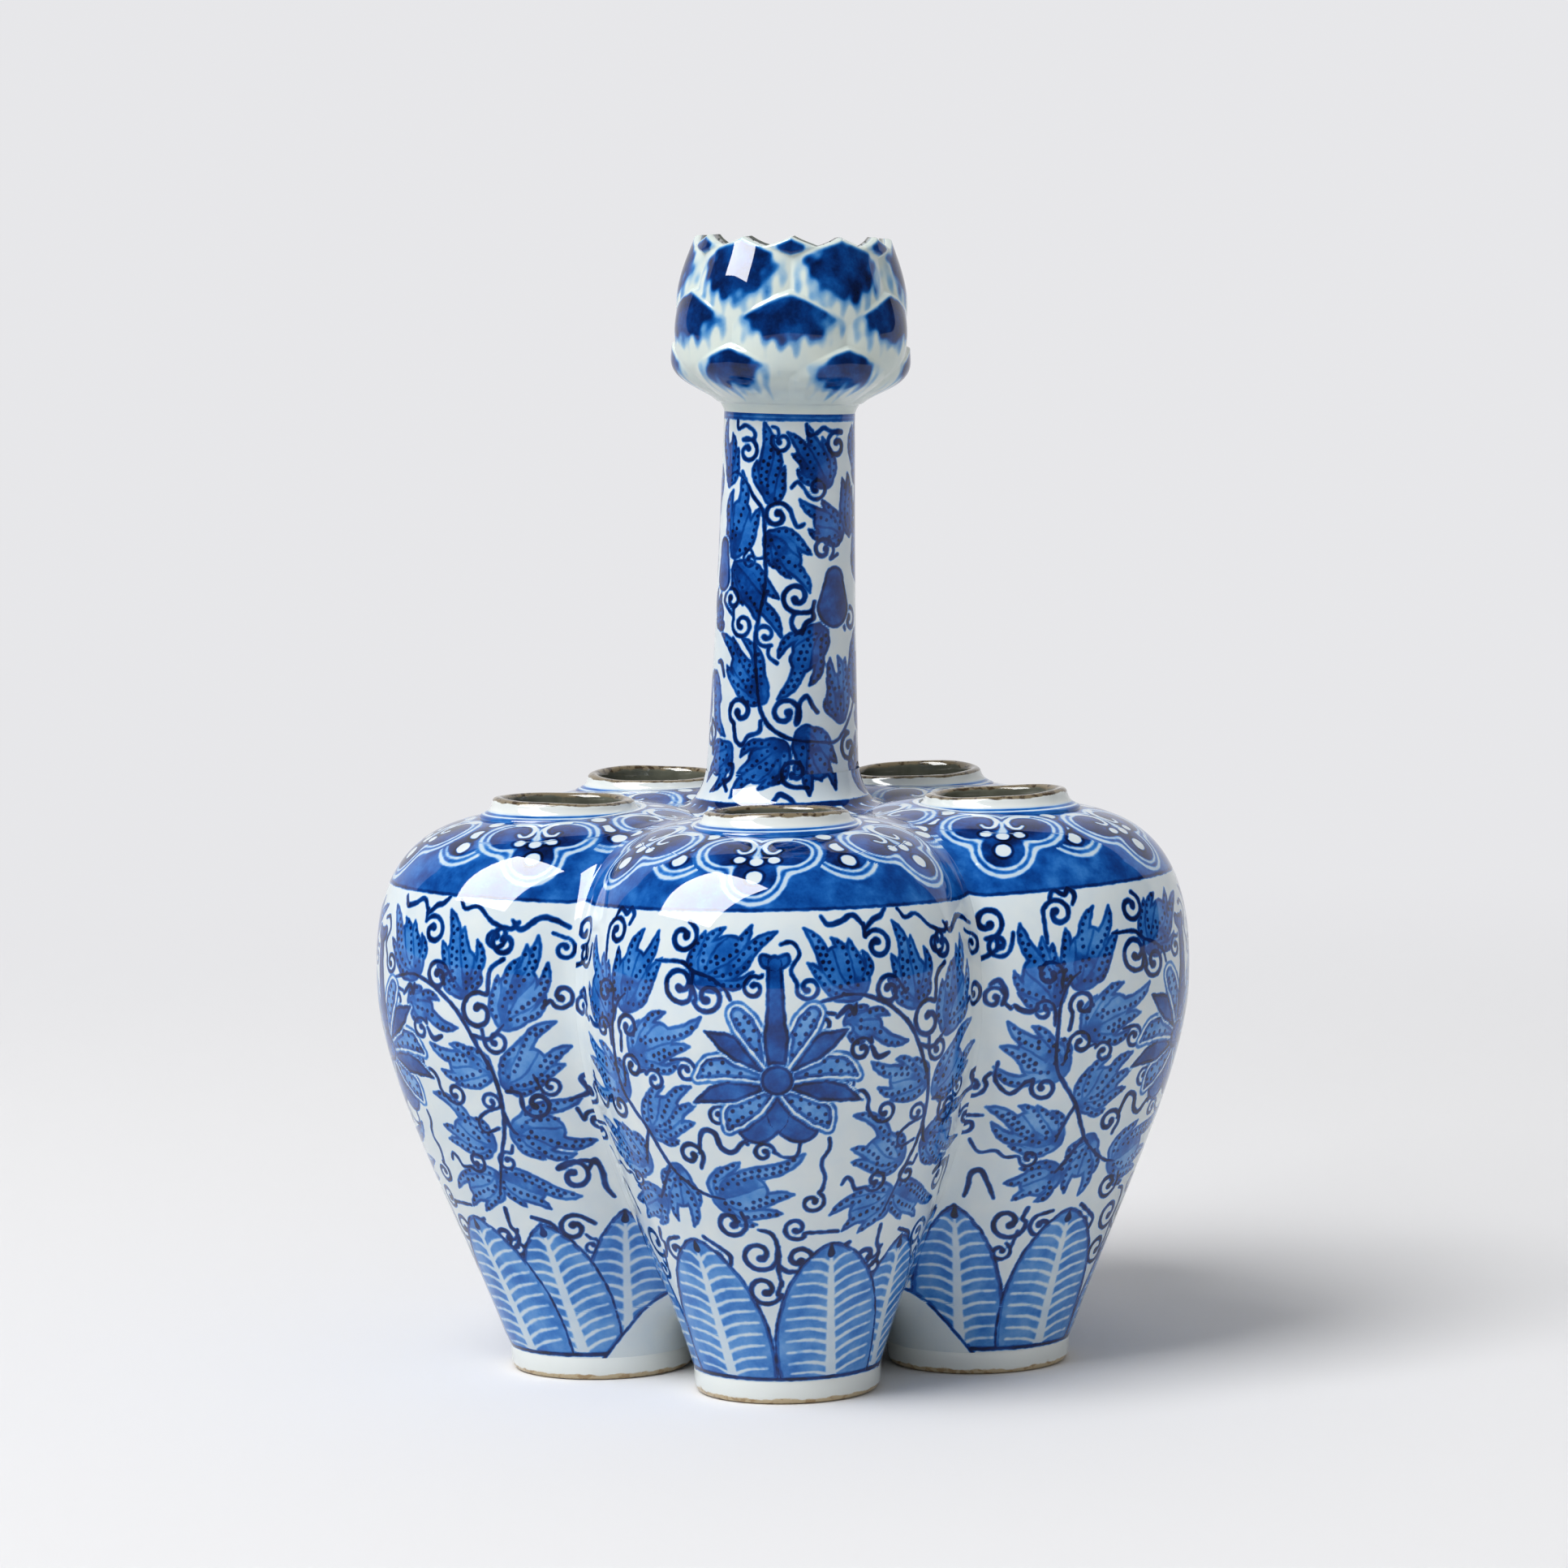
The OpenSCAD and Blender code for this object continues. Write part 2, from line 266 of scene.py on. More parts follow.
class Painting:
    """The paint on a turned surface, given by each vertex's turn, climb and radius."""

    def __init__(self, turn, climb, radius_at):
        self.turn, self.climb, self.radius_at = turn, climb, radius_at
        self.radius = radius_at(climb)
        self.wash, self.line, self.vein, self.fold = (np.full(turn.size, FAR) for _ in range(4))
        self.shade = np.zeros(turn.size)

    def lay(self, middle, points):
        """Points given as degrees and climb, in mm round a middle turn in degrees."""
        p = np.array(points, float)
        return np.stack([np.radians(p[:, 0] - middle) * self.radius_at(p[:, 1]), p[:, 1]], 1)

    def spots(self, middle, low, high):
        """The vertices inside a box round a middle turn, and their place in mm."""
        rows = np.flatnonzero((self.climb > low[1]) & (self.climb < high[1]))
        x = signed_turn(self.turn[rows] - math.radians(middle)) * self.radius[rows]
        keep = (x > low[0]) & (x < high[0])
        return rows[keep], np.stack([x[keep], self.climb[rows[keep]]], 1)

    def stroke(self, middle, path, widths, reach=STROKE_REACH):
        path = np.asarray(path, float)
        margin = np.max(widths) + reach
        near, spots = self.spots(middle, path.min(0) - margin, path.max(0) + margin)
        return near, stroke_distance(spots, path, widths)

    def fill(self, near, distance, shade, halo=0.0):
        """Washes a shape in, leaving a white halo between it and what is there already."""
        if halo:
            self.cut(near, distance - halo)
            self.line[near] = np.maximum(self.line[near], halo - distance)
        takes = distance < np.minimum(self.wash[near], 1.0)
        self.shade[near[takes]] = shade
        self.wash[near] = np.minimum(self.wash[near], distance)

    def cut(self, near, distance):
        """Leaves a shape white in the wash."""
        self.wash[near] = np.maximum(self.wash[near], -distance)

    def trace(self, near, distance):
        self.line[near] = np.minimum(self.line[near], distance)

    def draw(self, middle, path, widths):
        self.trace(*self.stroke(middle, path, widths, LINE_REACH))

    def dots(self, middle, centres, size):
        """Dabs round dots with the tip of the brush."""
        centres = np.array(centres)
        near, spots = self.spots(middle, centres.min(0) - DOT_REACH, centres.max(0) + DOT_REACH)
        gap = np.full(len(spots), FAR)
        for centre in centres:
            gap = np.minimum(gap, np.hypot(*(spots - centre).T) - size)
        self.trace(near, gap)

    def wipe(self, near, distance):
        """Thins the wash to a pale line without a dark edge."""
        self.vein[near] = np.minimum(self.vein[near], distance)

    def scratch(self, middle, path, widths):
        self.wipe(*self.stroke(middle, path, widths, LINE_REACH))

    def layers(self, part=slice(None)):
        """The paint of a run of vertices, layer by layer."""
        return {key: getattr(self, key)[part] for key in PAINT_LAYERS}


print("layers of paint:", ", ".join(PAINT_LAYERS))

# %% [markdown]
# ## Motifs of the scroll
#
# A leaf is like an open hand: a palm at the stem and curved fingers that stand apart at
# their tips. A dark line runs round it and down between the fingers, and rows of dots
# follow them. The fold between two fingers is where both are equally near, so half the
# difference of their distances is its distance. A curl winds inwards by rule from the end
# of its stem and ends in a dab.

# %% Leaves and tendrils
dice = np.random.default_rng(7)
DOT_SIZE, DOT_STEP = 0.48, 1.55
DOTS_FROM, DOTS_TO, DOTS_ASIDE, DOTS_APART = 0.18, 0.93, 0.4, 0.85
VINE_WIDTH, WAVE_WIDTH = 0.4, 0.5
CURL_TURNS, CURL_SHRINK, CURL_EASE, CURL_GROWTH = 1.15, 0.78, 1.3, 1.42
CURL_WIDTH, CURL_WIDTH_SHARE, CURL_DAB = 0.56, 0.25, 1.45
FINGER_STEPS = np.linspace(0, 1, 11)
FINGER_SHAPE = np.array((0.5, 0.75, 0.95, 1.04, 1.08, 1.08, 1.05, 0.98, 0.86, 0.64, 0.2))
PALM_STEPS = np.array((0.0, 0.12, 0.28, 0.46, 0.68))
PALM_SHAPE = np.array((0.12, 0.56, 0.86, 0.9, 0.66))
FINGER_BEND, MOST_BEND, BEND_DRIFT, FINGER_WAVE = 0.28, 0.2, 0.04, 0.055
FINGER_WIDTHS, PALM_WIDTHS = (0.95, 1.5), (2.0, 5.5)


def finger_path(base, tip, bend):
    """A bent finger with a slight wave to one hand or the other."""
    span = tip - base
    t = FINGER_STEPS[:, None]
    side = np.array([-span[1], span[0]]) * bend
    wave = np.array([-span[1], span[0]]) * dice.choice((-FINGER_WAVE, FINGER_WAVE))
    return base + t * span + np.sin(math.pi * t) * side + np.sin(math.tau * t) * wave


def draw_leaf(painting, base, tips, shade, size=1.0):
    """A leaf from its base and the tips of its fingers, in degrees and climb."""
    middle = base[0]
    root, *ends = painting.lay(middle, [base] + list(tips))
    ends = [root + size * (end - root) for end in ends]
    reach = np.mean(ends, axis=0) - root
    axis = reach / np.hypot(*reach)
    side = np.array([-axis[1], axis[0]])
    ends.sort(key=lambda end: math.atan2((end - root) @ side, (end - root) @ axis))
    aside = [(end - root) @ side for end in ends]
    spread = np.clip((max(aside) - min(aside)) / 2, *PALM_WIDTHS)
    palm = root + PALM_STEPS[:, None] * (reach + side * (max(aside) + min(aside)) / 2)
    fingers = []
    for end in ends:
        span = end - root
        fan = math.atan2(span @ side, span @ axis)
        bend = np.clip(FINGER_BEND * fan, -MOST_BEND, MOST_BEND)
        path = finger_path(root, end, bend + dice.uniform(-BEND_DRIFT, BEND_DRIFT))
        wide = np.clip(0.6 + 0.055 * np.hypot(*span), *FINGER_WIDTHS)
        fingers.append((path, wide * FINGER_SHAPE))
    around = np.vstack([path for path, _ in fingers])
    near, spots = painting.spots(middle, around.min(0) - LEAF_REACH, around.max(0) + LEAF_REACH)
    hands = np.array([stroke_distance(spots, *finger) for finger in fingers])
    leaf = np.minimum(hands.min(0), stroke_distance(spots, palm, spread * PALM_SHAPE))
    painting.fill(near, leaf, shade)
    first, second = np.sort(hands, axis=0)[:2]
    fold = np.where(hands.argmin(0) % 2, 0.5, -0.5) * (second - first)
    covered = leaf < 0.3
    painting.fold[near[covered]] = fold[covered]
    marks = []
    for path, widths in fingers:
        along = np.concatenate([[0], np.cumsum(np.hypot(*np.diff(path, axis=0).T))])
        places = np.arange(DOTS_FROM * along[-1], DOTS_TO * along[-1], DOT_STEP / 2)
        for k, place in enumerate(places):
            spot = np.array([np.interp(place, along, column) for column in path.T])
            spot = spot + (-1) ** k * DOTS_ASIDE * side * np.interp(place, along, widths)
            if all(np.hypot(*(spot - mark)) > DOT_STEP * DOTS_APART for mark in marks):
                marks.append(spot)
    painting.dots(middle, marks, DOT_SIZE)


def draw_vine(painting, points, width=VINE_WIDTH):
    """A stem through points in degrees and climb."""
    middle = points[len(points) // 2][0]
    path = smooth_path(painting.lay(middle, points))
    swell = np.sin(math.pi * np.linspace(0, 1, len(path))) ** 0.7
    painting.draw(middle, path, width * (0.7 + 0.45 * swell))


def draw_curl(painting, centre, radius, start, hand, *stem):
    """A curl round a centre from a start angle in degrees, and the stem leading to it."""
    middle = centre[0]
    t = np.linspace(0, 1, 15)
    angle = math.radians(start) + hand * t * CURL_TURNS * math.tau
    reach = CURL_GROWTH * radius * (1 - CURL_SHRINK * t ** CURL_EASE)
    wound = np.stack([reach * np.cos(angle), centre[1] + reach * np.sin(angle)], 1)
    if stem:
        wound = np.vstack([painting.lay(middle, stem), wound])
    path = smooth_path(wound, 4)
    width = min(CURL_WIDTH, CURL_WIDTH_SHARE * radius)
    widths = width * np.linspace(0.8, 1.05, len(path))
    widths[-4:] = width * CURL_DAB
    painting.draw(middle, path, widths)


print("a leaf has dots", DOT_STEP, "mm apart, a curl winds", CURL_TURNS, "times")

# %% [markdown]
# ## The lotus flower
#
# The flower is painted from back to front: a dark bell, pairs of petals that are dark and
# plain or pale and dotted, a seed pod and the heart. Each shape keeps a thin white halo
# from what lies behind it, as the painter leaves a bare line between two washes, and the
# dotted petals have a fine outline round their halo.

# %% A painted lotus
PALE, MIDDLE, STRONG, DEEP = 0.7, 0.76, 1.42, 2.1
DARK = STRONG * 1.15
# Middle line from the heart, half widths, shade, halo and whether dotted, from back to front
FLOWER = (
    (((0, -4), (2.2, -7.6), (4.2, -9.6)), (2.4, 4.4, 4.3), STRONG, 0.0, False),
    (((1.6, -2.5), (5, -5.5), (8.4, -7.6), (10, -10.6)), (0.8, 1.9, 2.4, 0.4), PALE, 1.0, True),
    (((2.5, -1), (9, -2.4), (13, -3.2), (17.4, -5.2)), (0.9, 2.3, 1.9, 0.2), DARK, 0.6, False),
    (((2.8, 0.8), (8.4, 2.6), (13.2, 2.4), (16.4, 0.3)), (0.8, 2.0, 2.0, 0.3), PALE, 1.0, True),
    (((2.2, 2.4), (7.4, 6.2), (10.4, 7.9), (14.6, 10)), (0.9, 2.4, 2.0, 0.2), DARK, 0.6, False),
    (((1.3, 3), (4, 8), (6.2, 11.6), (7.6, 13.6)), (0.7, 1.6, 2.0, 1.5), PALE, 1.0, True),
    (((0, 3), (0, 8.5), (0, 14), (0, 24)), (1.8, 2.6, 1.9, 1.5), DARK, 0.5, False),
    (((0, 23.6), (1.6, 24.2), (2.2, 24.9)), (1.4, 1.4, 1.0), DARK, 0.0, False),
    (((-0.05, 0), (0.05, 0)), (3.2, 3.2), STRONG, 0.3, False),
)


def draw_petal(painting, middle, path, wide, shade, halo, dotted):
    near, distance = painting.stroke(middle, path, wide)
    painting.fill(near, distance, shade, halo)
    painting.trace(near, np.abs(distance + 0.1) - 0.16)
    if dotted:
        painting.fill(near, np.abs(distance - halo) - 0.22, PALE * 0.7)
        marks = []
        for k in range(2, len(path) - 1):
            run = path[k] - path[k - 1]
            across = np.array([run[1], -run[0]]) / np.hypot(*run) * wide[k] * 0.5
            marks.append(path[k] + across * (-1) ** k)
        painting.dots(middle, marks, DOT_SIZE)


def draw_flower(painting, middle, climb):
    for points, widths, shade, halo, dotted in FLOWER:
        for hand in (-1, 1):
            path = smooth_path([(hand * x, climb + y) for x, y in points], 4)
            wide = np.interp(np.linspace(0, 1, len(path)), np.linspace(0, 1, len(widths)), widths)
            draw_petal(painting, middle, path, wide, shade, halo, dotted)


print("a flower has", len(FLOWER), "pairs of shapes")

# %% [markdown]
# ## The shoulder band
#
# Round each mouth runs a blue band with trefoil heads, each in two white lines, and oval
# medallions between them. The shoulder is nearly flat, so these are drawn as if looked at
# along the lobe's axis, with the mouth's middle as the pole. The white lines are
# distances too: rings of even width round the trefoil's own outline.

# %% Trefoil heads and medallions
BAND_TOP, BAND_LOW, BAND_DROP, BAND_DROP_TURN = 48.6, 24.4, 3.0, math.radians(75)
RIM_LINE, DOME_FROM, MEDALLION_CLIMB = 50.4, 14, 40.4
MEDALLION_RINGS, MEDALLION_BEADS = ((1.6, 2.5), (0.3, 0.95)), (46.6, 40.8, 35.8)
TREFOIL_EDGE, TREFOIL_FIELD, TREFOIL_RINGS = 3.6, 3.4, ((1.6, 2.65), (0.1, 0.9))
VOLUTE = ((5.5, 47.2), (3.0, 46.4), (1.5, 44.4), (1.1, 42.0), (2.0, 40.0), (3.5, 39.9), (4.3, 41.2))
TREFOILS = (-135, -70, -7, 63, 130)
MEDALLIONS = (-104, -40, 30, 97, 165)
POLE = CLIMB[-1] + OUTLINE[-1, 0]


def on_dome(painting, middle):
    """Vertices of the shoulder and their place in mm, with the middle turn downwards."""
    near = np.flatnonzero((painting.climb > DOME_FROM) & (painting.climb < BAND_TOP + 1))
    turn = painting.turn[near] - math.radians(middle)
    reach = POLE - painting.climb[near]
    return near, np.stack([reach * np.sin(turn), POLE - reach * np.cos(turn)], 1)


def ring(distance, low, high):
    """The strip between two distances from an outline, as a distance of its own."""
    return np.maximum(low - distance, distance - high)


def round_blob(spots, x, y, radius, tall=1.0):
    return np.hypot(spots[:, 0] - x, (spots[:, 1] - y) / tall) - radius


def draw_shoulder(painting):
    near = np.flatnonzero(painting.climb > 12)
    climb = painting.climb[near]
    drop = np.minimum(np.abs(painting.turn[near]) / BAND_DROP_TURN, 1) ** 2
    low_edge = BAND_LOW - BAND_DROP * drop
    painting.fill(near, np.maximum(low_edge - climb, climb - BAND_TOP), STRONG)
    painting.trace(near, np.abs(climb - RIM_LINE) - 0.35)
    for middle in MEDALLIONS:
        near, spots = on_dome(painting, middle)
        oval = round_blob(spots, 0, MEDALLION_CLIMB, 5.6, 1.25)
        painting.shade[near[oval < 0.2]] = DEEP
        below = spots[:, 1] - MEDALLION_CLIMB
        for low, high in MEDALLION_RINGS:
            painting.wipe(near, np.maximum(ring(oval, low, high), below))
        for bead in MEDALLION_BEADS:
            painting.cut(near, round_blob(spots, 0, bead, 1.75, 1.05))
    for middle in TREFOILS:
        near, spots = on_dome(painting, middle)
        cheek = np.hypot(np.abs(spots[:, 0]) - 5.5, spots[:, 1] - 40.9) - 4.9
        chin = round_blob(spots, 0, 32.6, 4.6)
        blend = np.clip(1 - np.abs(cheek - chin) / 2, 0, 1)
        edge = np.minimum(cheek, chin) - 0.5 * blend ** 2
        inside = spots[:, 1] < BAND_TOP + 0.6
        near, spots, edge = near[inside], spots[inside], edge[inside]
        field = np.maximum(edge - TREFOIL_EDGE, -2.0)
        painting.wash[near] = np.minimum(painting.wash[near], field)
        painting.shade[near[edge < TREFOIL_FIELD]] = STRONG
        painting.shade[near[edge < 0.2]] = DEEP
        painting.vein[near] = np.where(edge < TREFOIL_FIELD, FAR, painting.vein[near])
        for low, high in TREFOIL_RINGS:
            painting.wipe(near, ring(edge, low, high))
        for hand in (-1, 1):
            volute = smooth_path([(hand * x, y) for x, y in VOLUTE])
            widths = np.linspace(0.75, 0.45, len(volute))
            painting.cut(near, stroke_distance(spots, volute, widths))
            painting.cut(near, round_blob(spots, hand * 3.5, 37.4, 1.35, 0.85))
        painting.cut(near, round_blob(spots, 0, 36.6, 1.5, 0.85))
        painting.cut(near, round_blob(spots, 0, 32.2, 1.85, 0.95))


print("round a mouth:", len(TREFOILS), "trefoil heads and", len(MEDALLIONS), "medallions")

# %% [markdown]
# ## Banana leaves on the foot
#
# Upright leaves stand round the foot and overlap. Their white midrib and side veins are
# scratched out of the wash, so they have no dark edge where a gap in the wash would get
# one. That is why they have a distance of their own, `vein`.

# %% Banana leaves
LEAF_FOOT, LEAF_POINTS, LEAF_VEINS, VEIN_STEP = -80.6, 17, 11, 0.083
LEAF_STEPS = (0, 0.2, 0.4, 0.6, 0.75, 0.88, 0.96, 1)
LEAF_SHAPE = (0.88, 0.98, 1.0, 0.88, 0.66, 0.38, 0.15, 0.03)
BANANA_LEAVES = (((-84, LEAF_FOOT), (-84, -46.5), 9.4), ((92, LEAF_FOOT), (88, -46.5), 9.0),
                 ((64, LEAF_FOOT), (54, -49.0), 9.6), ((-33, LEAF_FOOT), (-36, -47.6), 11.0),
                 ((28, LEAF_FOOT), (19.5, -48.2), 11.4))


def draw_banana_leaf(painting, foot, tip, width):
    middle = foot[0]
    path = np.linspace(*painting.lay(middle, [foot, tip]), LEAF_POINTS)
    t = np.linspace(0, 1, LEAF_POINTS)
    widths = width * np.interp(t, LEAF_STEPS, LEAF_SHAPE)
    near, edge = painting.stroke(middle, path, widths)
    edge = np.maximum(edge, LEAF_FOOT - painting.climb[near])
    painting.line[near] = np.maximum(painting.line[near], -edge)
    painting.vein[near] = np.maximum(painting.vein[near], -edge)
    painting.fill(near, edge, PALE * 1.2)
    painting.trace(near, np.maximum(np.abs(edge) - 0.26, LEAF_FOOT - painting.climb[near]))
    painting.scratch(middle, path[:-1], np.interp(t[:-1], (0, 0.75, 1), (1.25, 0.75, 0.15)))
    span = path[-1] - path[0]
    across = np.array([span[1], -span[0]]) / np.hypot(*span)
    rise = np.array([0, 1.0])
    for k in range(LEAF_VEINS):
        t0 = 0.02 + VEIN_STEP * k
        start = path[0] + t0 * span
        reach = np.interp(t0, t, widths)
        for hand in (-1, 1):
            vein = smooth_path([start, start + hand * across * reach * 0.4 + rise * 1.8,
                                start + hand * across * reach * 0.84 + rise * 2.2], 5)
            painting.scratch(middle, vein, np.linspace(0.5, 0.3, len(vein)))
    painting.draw(middle, path[-2:], (0.9, 0.3))


print("round a foot:", len(BANANA_LEAVES), "banana leaves")

# %% [markdown]
# ## Laying out one lobe
#
# All the places are in degrees from the lobe's outer line and in mm of climb from the
# belly. The lobes share one layout: the front lobe shows its middle, the lobes beside it
# show its right and left flanks. A leaf is its base and then its tips.

# %% Leaves and stems of the scroll
SCROLL_LEAVES = (
    ((-21, 10), (-20.5, 21.5), (-13.5, 22.5), (-4.5, 23), (4, 21.5), (-4, 17), (-4, 12.5)),
    ((22.5, 7.5), (6.5, 22.5), (15.5, 20), (21.5, 19.5), (26, 16.5), (7.5, 14.5), (11, 10.5)),
    ((42, 4), (36, 23), (42.5, 19), (47.5, 16), (33.5, 15.5), (31.5, 10.5), (48, 9)),
    ((-47, 3.5), (-52, 16.5), (-41, 21.5), (-34.5, 21.5), (-32, 15.5), (-37, 8.5)),
    ((-44, -6), (-41, 2), (-36, 4), (-30.5, 4.5), (-18, 4), (-22, -3), (-26, -6.5)),
    ((-42, -22), (-40.5, -13), (-33.5, -11), (-23.5, -10.5), (-22.5, -15), (-23.5, -19.5),
     (-31, -24.5)),
    ((-35.5, -30.5), (-44.5, -36), (-45, -40.5), (-42, -45), (-34, -46), (-30, -41)),
    ((-21, -37), (-19, -28.5), (-11.5, -27), (-4.5, -28.5), (11.5, -25), (8, -35.5),
     (3.5, -40.5), (-7, -43.5)),
    ((42, -30), (20.5, -17), (29.5, -20), (37, -23), (20.5, -25.5), (21, -29), (31, -33)),
    ((47, -13.5), (24.5, -6.5), (33.5, -6.5), (40.5, -7), (27.5, -13), (32.5, -16.5)),
    ((20, 1.5), (27, 4.5), (34.5, 2), (41.5, -4.5), (32.5, -3), (25.5, -3.5)),
    ((40, -37.5), (21, -37.5), (14.5, -41.5), (20.5, -46), (28.5, -47), (36, -44.5)),
    ((54, -3), (53, 8.5), (61, 12.5), (63.5, 15.5), (67.5, 17.5), (70, 11), (68.5, 3.5)),
    ((52.5, -16), (56, -9), (61, -4), (71.5, -1), (75.5, -7), (73, -11.5), (64, -16.5)),
    ((53, -27.5), (58.5, -25), (69, -23.5), (77.5, -18.5), (82, -29.5), (74, -33), (62, -34)),
    ((43, -37.5), (57, -37), (64, -40.5), (76, -43), (62, -46), (51, -45.5)),
    ((-55, 0), (-52, 7), (-55.5, 13.5), (-59, 15), (-66.5, 18), (-68, 7), (-66.5, 2)),
    ((-50.5, -14.5), (-52, -7), (-57, -5.5), (-62, -4), (-70, -3), (-72, -9), (-74, -14)),
    ((-49, -31), (-52.5, -23), (-58, -21.5), (-64.5, -21.5), (-76, -22), (-74, -26), (-67, -32)),
    ((-47, -38.5), (-55, -36), (-62, -37), (-68, -41), (-64, -45.5), (-54, -46)),
)
VINES = (
    ((-36, 13.5), (-27.5, 13.7), (-23.5, 12), (-18, 10.7), (-14, 8.7), (-12.5, 6.5)),
    ((-47, 6), (-50, 4), (-52.5, 0), (-53, -5), (-52.5, -13.5), (-49, -18), (-44, -22.5),
     (-40.5, -27.5), (-36, -32), (-27, -36), (-19.5, -37)),
    ((11, 5), (13.5, 6), (22, 7), (29, 5.5), (35, 2.8), (40.5, -1.5), (46, -9.5),
     (48.5, -13.7), (49.5, -19.5), (48.5, -26), (45.5, -31.5), (42.5, -37), (39.5, -42)),
    ((-8.5, -44), (-3.5, -45), (-1.2, -49), (-1.6, -53.5), (0, -57.5)),
    ((43, -5), (49, -6), (54, -3)), ((49, -21), (51, -26), (53, -27.5)),
    ((-44, -22.5), (-47, -27), (-49, -31)), ((-38, -30), (-44, -36), (-47, -38.5)),
)
print("scroll:", len(SCROLL_LEAVES), "leaves and", len(VINES), "stems")

# %% Tendrils of the scroll: centre, radius, start angle, hand, stem
CURLS = (
    ((-53.5, 18), 2.2, 180, -1, (-57, 12)), ((-27.5, 18.7), 2.3, 70, -1),
    ((-27.3, 9.3), 2.7, -60, -1, (-23.5, 11.5), (-24, 7.5)),
    ((-19, 7), 2.3, 200, 1, (-23.5, 9), (-22.5, 6.5)), ((-5.8, 9), 1.7, 60, 1, (-3.5, 11.5)),
    ((9.2, 8.8), 1.7, 200, 1, (1.8, 17.6), (5, 18), (7, 15.5), (4.4, 12.4), (6, 9.8)),
    ((30.5, 16.3), 2.2, 135, -1, (27, 20.8), (27, 18.4)),
    ((52.5, 15), 1.9, 80, -1, (40, 23), (42, 21), (46.5, 21.5), (50.5, 18.8)),
    ((33, 7), 2.1, 80, 1, (38.5, 6), (36, 9)),
    ((46.5, -0.3), 3.0, 60, 1, (55, 10.5), (51, 8.5), (50, 5)),
    ((13, 1.5), 1.6, 90, 1, (16.5, 3.2)), ((24, -4.5), 1.8, 30, 1, (27, -2)),
    ((-56, 5.5), 2.1, -30, 1, (-52, 2)), ((-45.8, -0.8), 2.1, 220, -1, (-49.5, -6)),
    ((-57.5, -2), 1.7, 0, 1, (-54, -5)), ((-26.5, -8.5), 1.7, 80, -1, (-31, -6.5), (-28.5, -6.2)),
    ((-45.5, -9), 1.9, 180, -1, (-50, -13)),
    ((-37.5, -11.3), 1.7, 150, -1, (-43.5, -10), (-40.5, -9.3)),
    ((-29, -27.2), 2.1, -45, 1, (-26, -30)),
    ((-4.7, -26), 1.6, 0, 1, (6.5, -24), (5.5, -26.8), (1.5, -27), (-1.5, -25.8)),
    ((11, -37.7), 1.8, 60, -1, (15.5, -23.2), (15.8, -25.5), (14, -27.5), (13.5, -29.5),
     (15, -32), (14, -35)),
    ((33, -18.3), 1.8, 220, 1, (22, -13.7), (24.7, -13.2), (27, -15), (27, -17.3), (29, -19.3)),
    ((45.5, -20), 1.6, -30, 1, (46.5, -26), (41, -27), (39.5, -24.5), (43, -22.3)),
    ((33.5, -34), 1.8, 220, 1, (21, -34), (22.5, -32.5), (24.5, -33.5), (26, -35.5), (30, -35.3)),
    ((47, -33.8), 1.7, 60, 1, (50, -30)), ((-18.5, -42.5), 2.3, 0, -1, (-14, -40)),
    ((5.5, -43.7), 1.9, -50, -1, (21.5, -45), (13, -44.9), (8.5, -45)),
    ((-9, -50), 2.7, -20, -1, (-1.2, -48), (-2, -51)),
    ((6.8, -51), 2.3, 250, 1, (-1.5, -52.5), (2, -54)),
    ((-8, -58.3), 2.6, -20, -1, (-0.3, -56.5), (-2.2, -59.5)),
    ((36, -52), 2.3, 30, -1, (40, -45), (40, -49)), ((55.5, 14), 2.2, 60, 1, (60, 18)),
    ((51, -6.5), 1.9, 180, 1, (47, -4)), ((61, -20.5), 2.3, 180, 1, (52, -17.5), (56, -18)),
    ((70, -37.5), 2.6, 150, -1, (79, -35), (73, -34)),
    ((67.5, -49.8), 2.2, 60, 1, (76, -49), (72, -47.5)), ((74, -54.5), 1.4, 90, -1, (72, -51.5)),
    ((41, -54.5), 1.6, 90, 1, (43, -50)),
    ((-74.5, 16), 2.4, -90, 1, (-76, 8.5), (-71.5, 10.5), (-72, 13)),
    ((-55.5, -18.5), 2.0, 150, 1, (-70, -13), (-70.5, -17), (-66, -20), (-61.5, -17.5)),
    ((-57.5, -34.7), 1.5, 180, 1, (-78, -30.5), (-75, -33.5), (-69.5, -33), (-66, -34.5),
     (-62, -34.3)),
    ((-62.5, -50), 2.8, 0, -1, (-55, -46.5), (-56.5, -49)),
    ((-64.5, -57), 1.6, 60, -1, (-58, -52), (-60, -56)),
    ((71.5, 2.5), 1.9, 200, 1, (66, 0.5)), ((73, 12), 1.7, 90, -1, (70, 15.5)),
    ((79, -24.5), 1.8, 180, -1, (73, -22)), ((66, -16.5), 1.6, 200, 1, (61, -14)),
    ((-71, 11.5), 1.9, 0, -1, (-67, 14)), ((-72, 0.5), 1.8, -20, 1, (-67, -1.5)),
    ((-77, -18), 1.9, 30, -1, (-72, -15.5)), ((-79, -27), 1.7, 60, 1, (-74, -25)),
    ((-17.5, -18), 1.6, 60, 1, (-21, -14.5)), ((19.5, -11.5), 1.5, 120, -1, (23.5, -13.5)),
    ((-27, -51.5), 2.2, 30, -1, (-31, -46.5)), ((-37, -53), 1.7, 90, 1, (-32, -49.5)),
    ((22, -51.5), 2.0, 150, 1, (27, -48)), ((55, -51), 2.1, 60, -1, (51, -47)),
    ((-48, -51), 2.0, 100, 1, (-44, -47.5)),
)
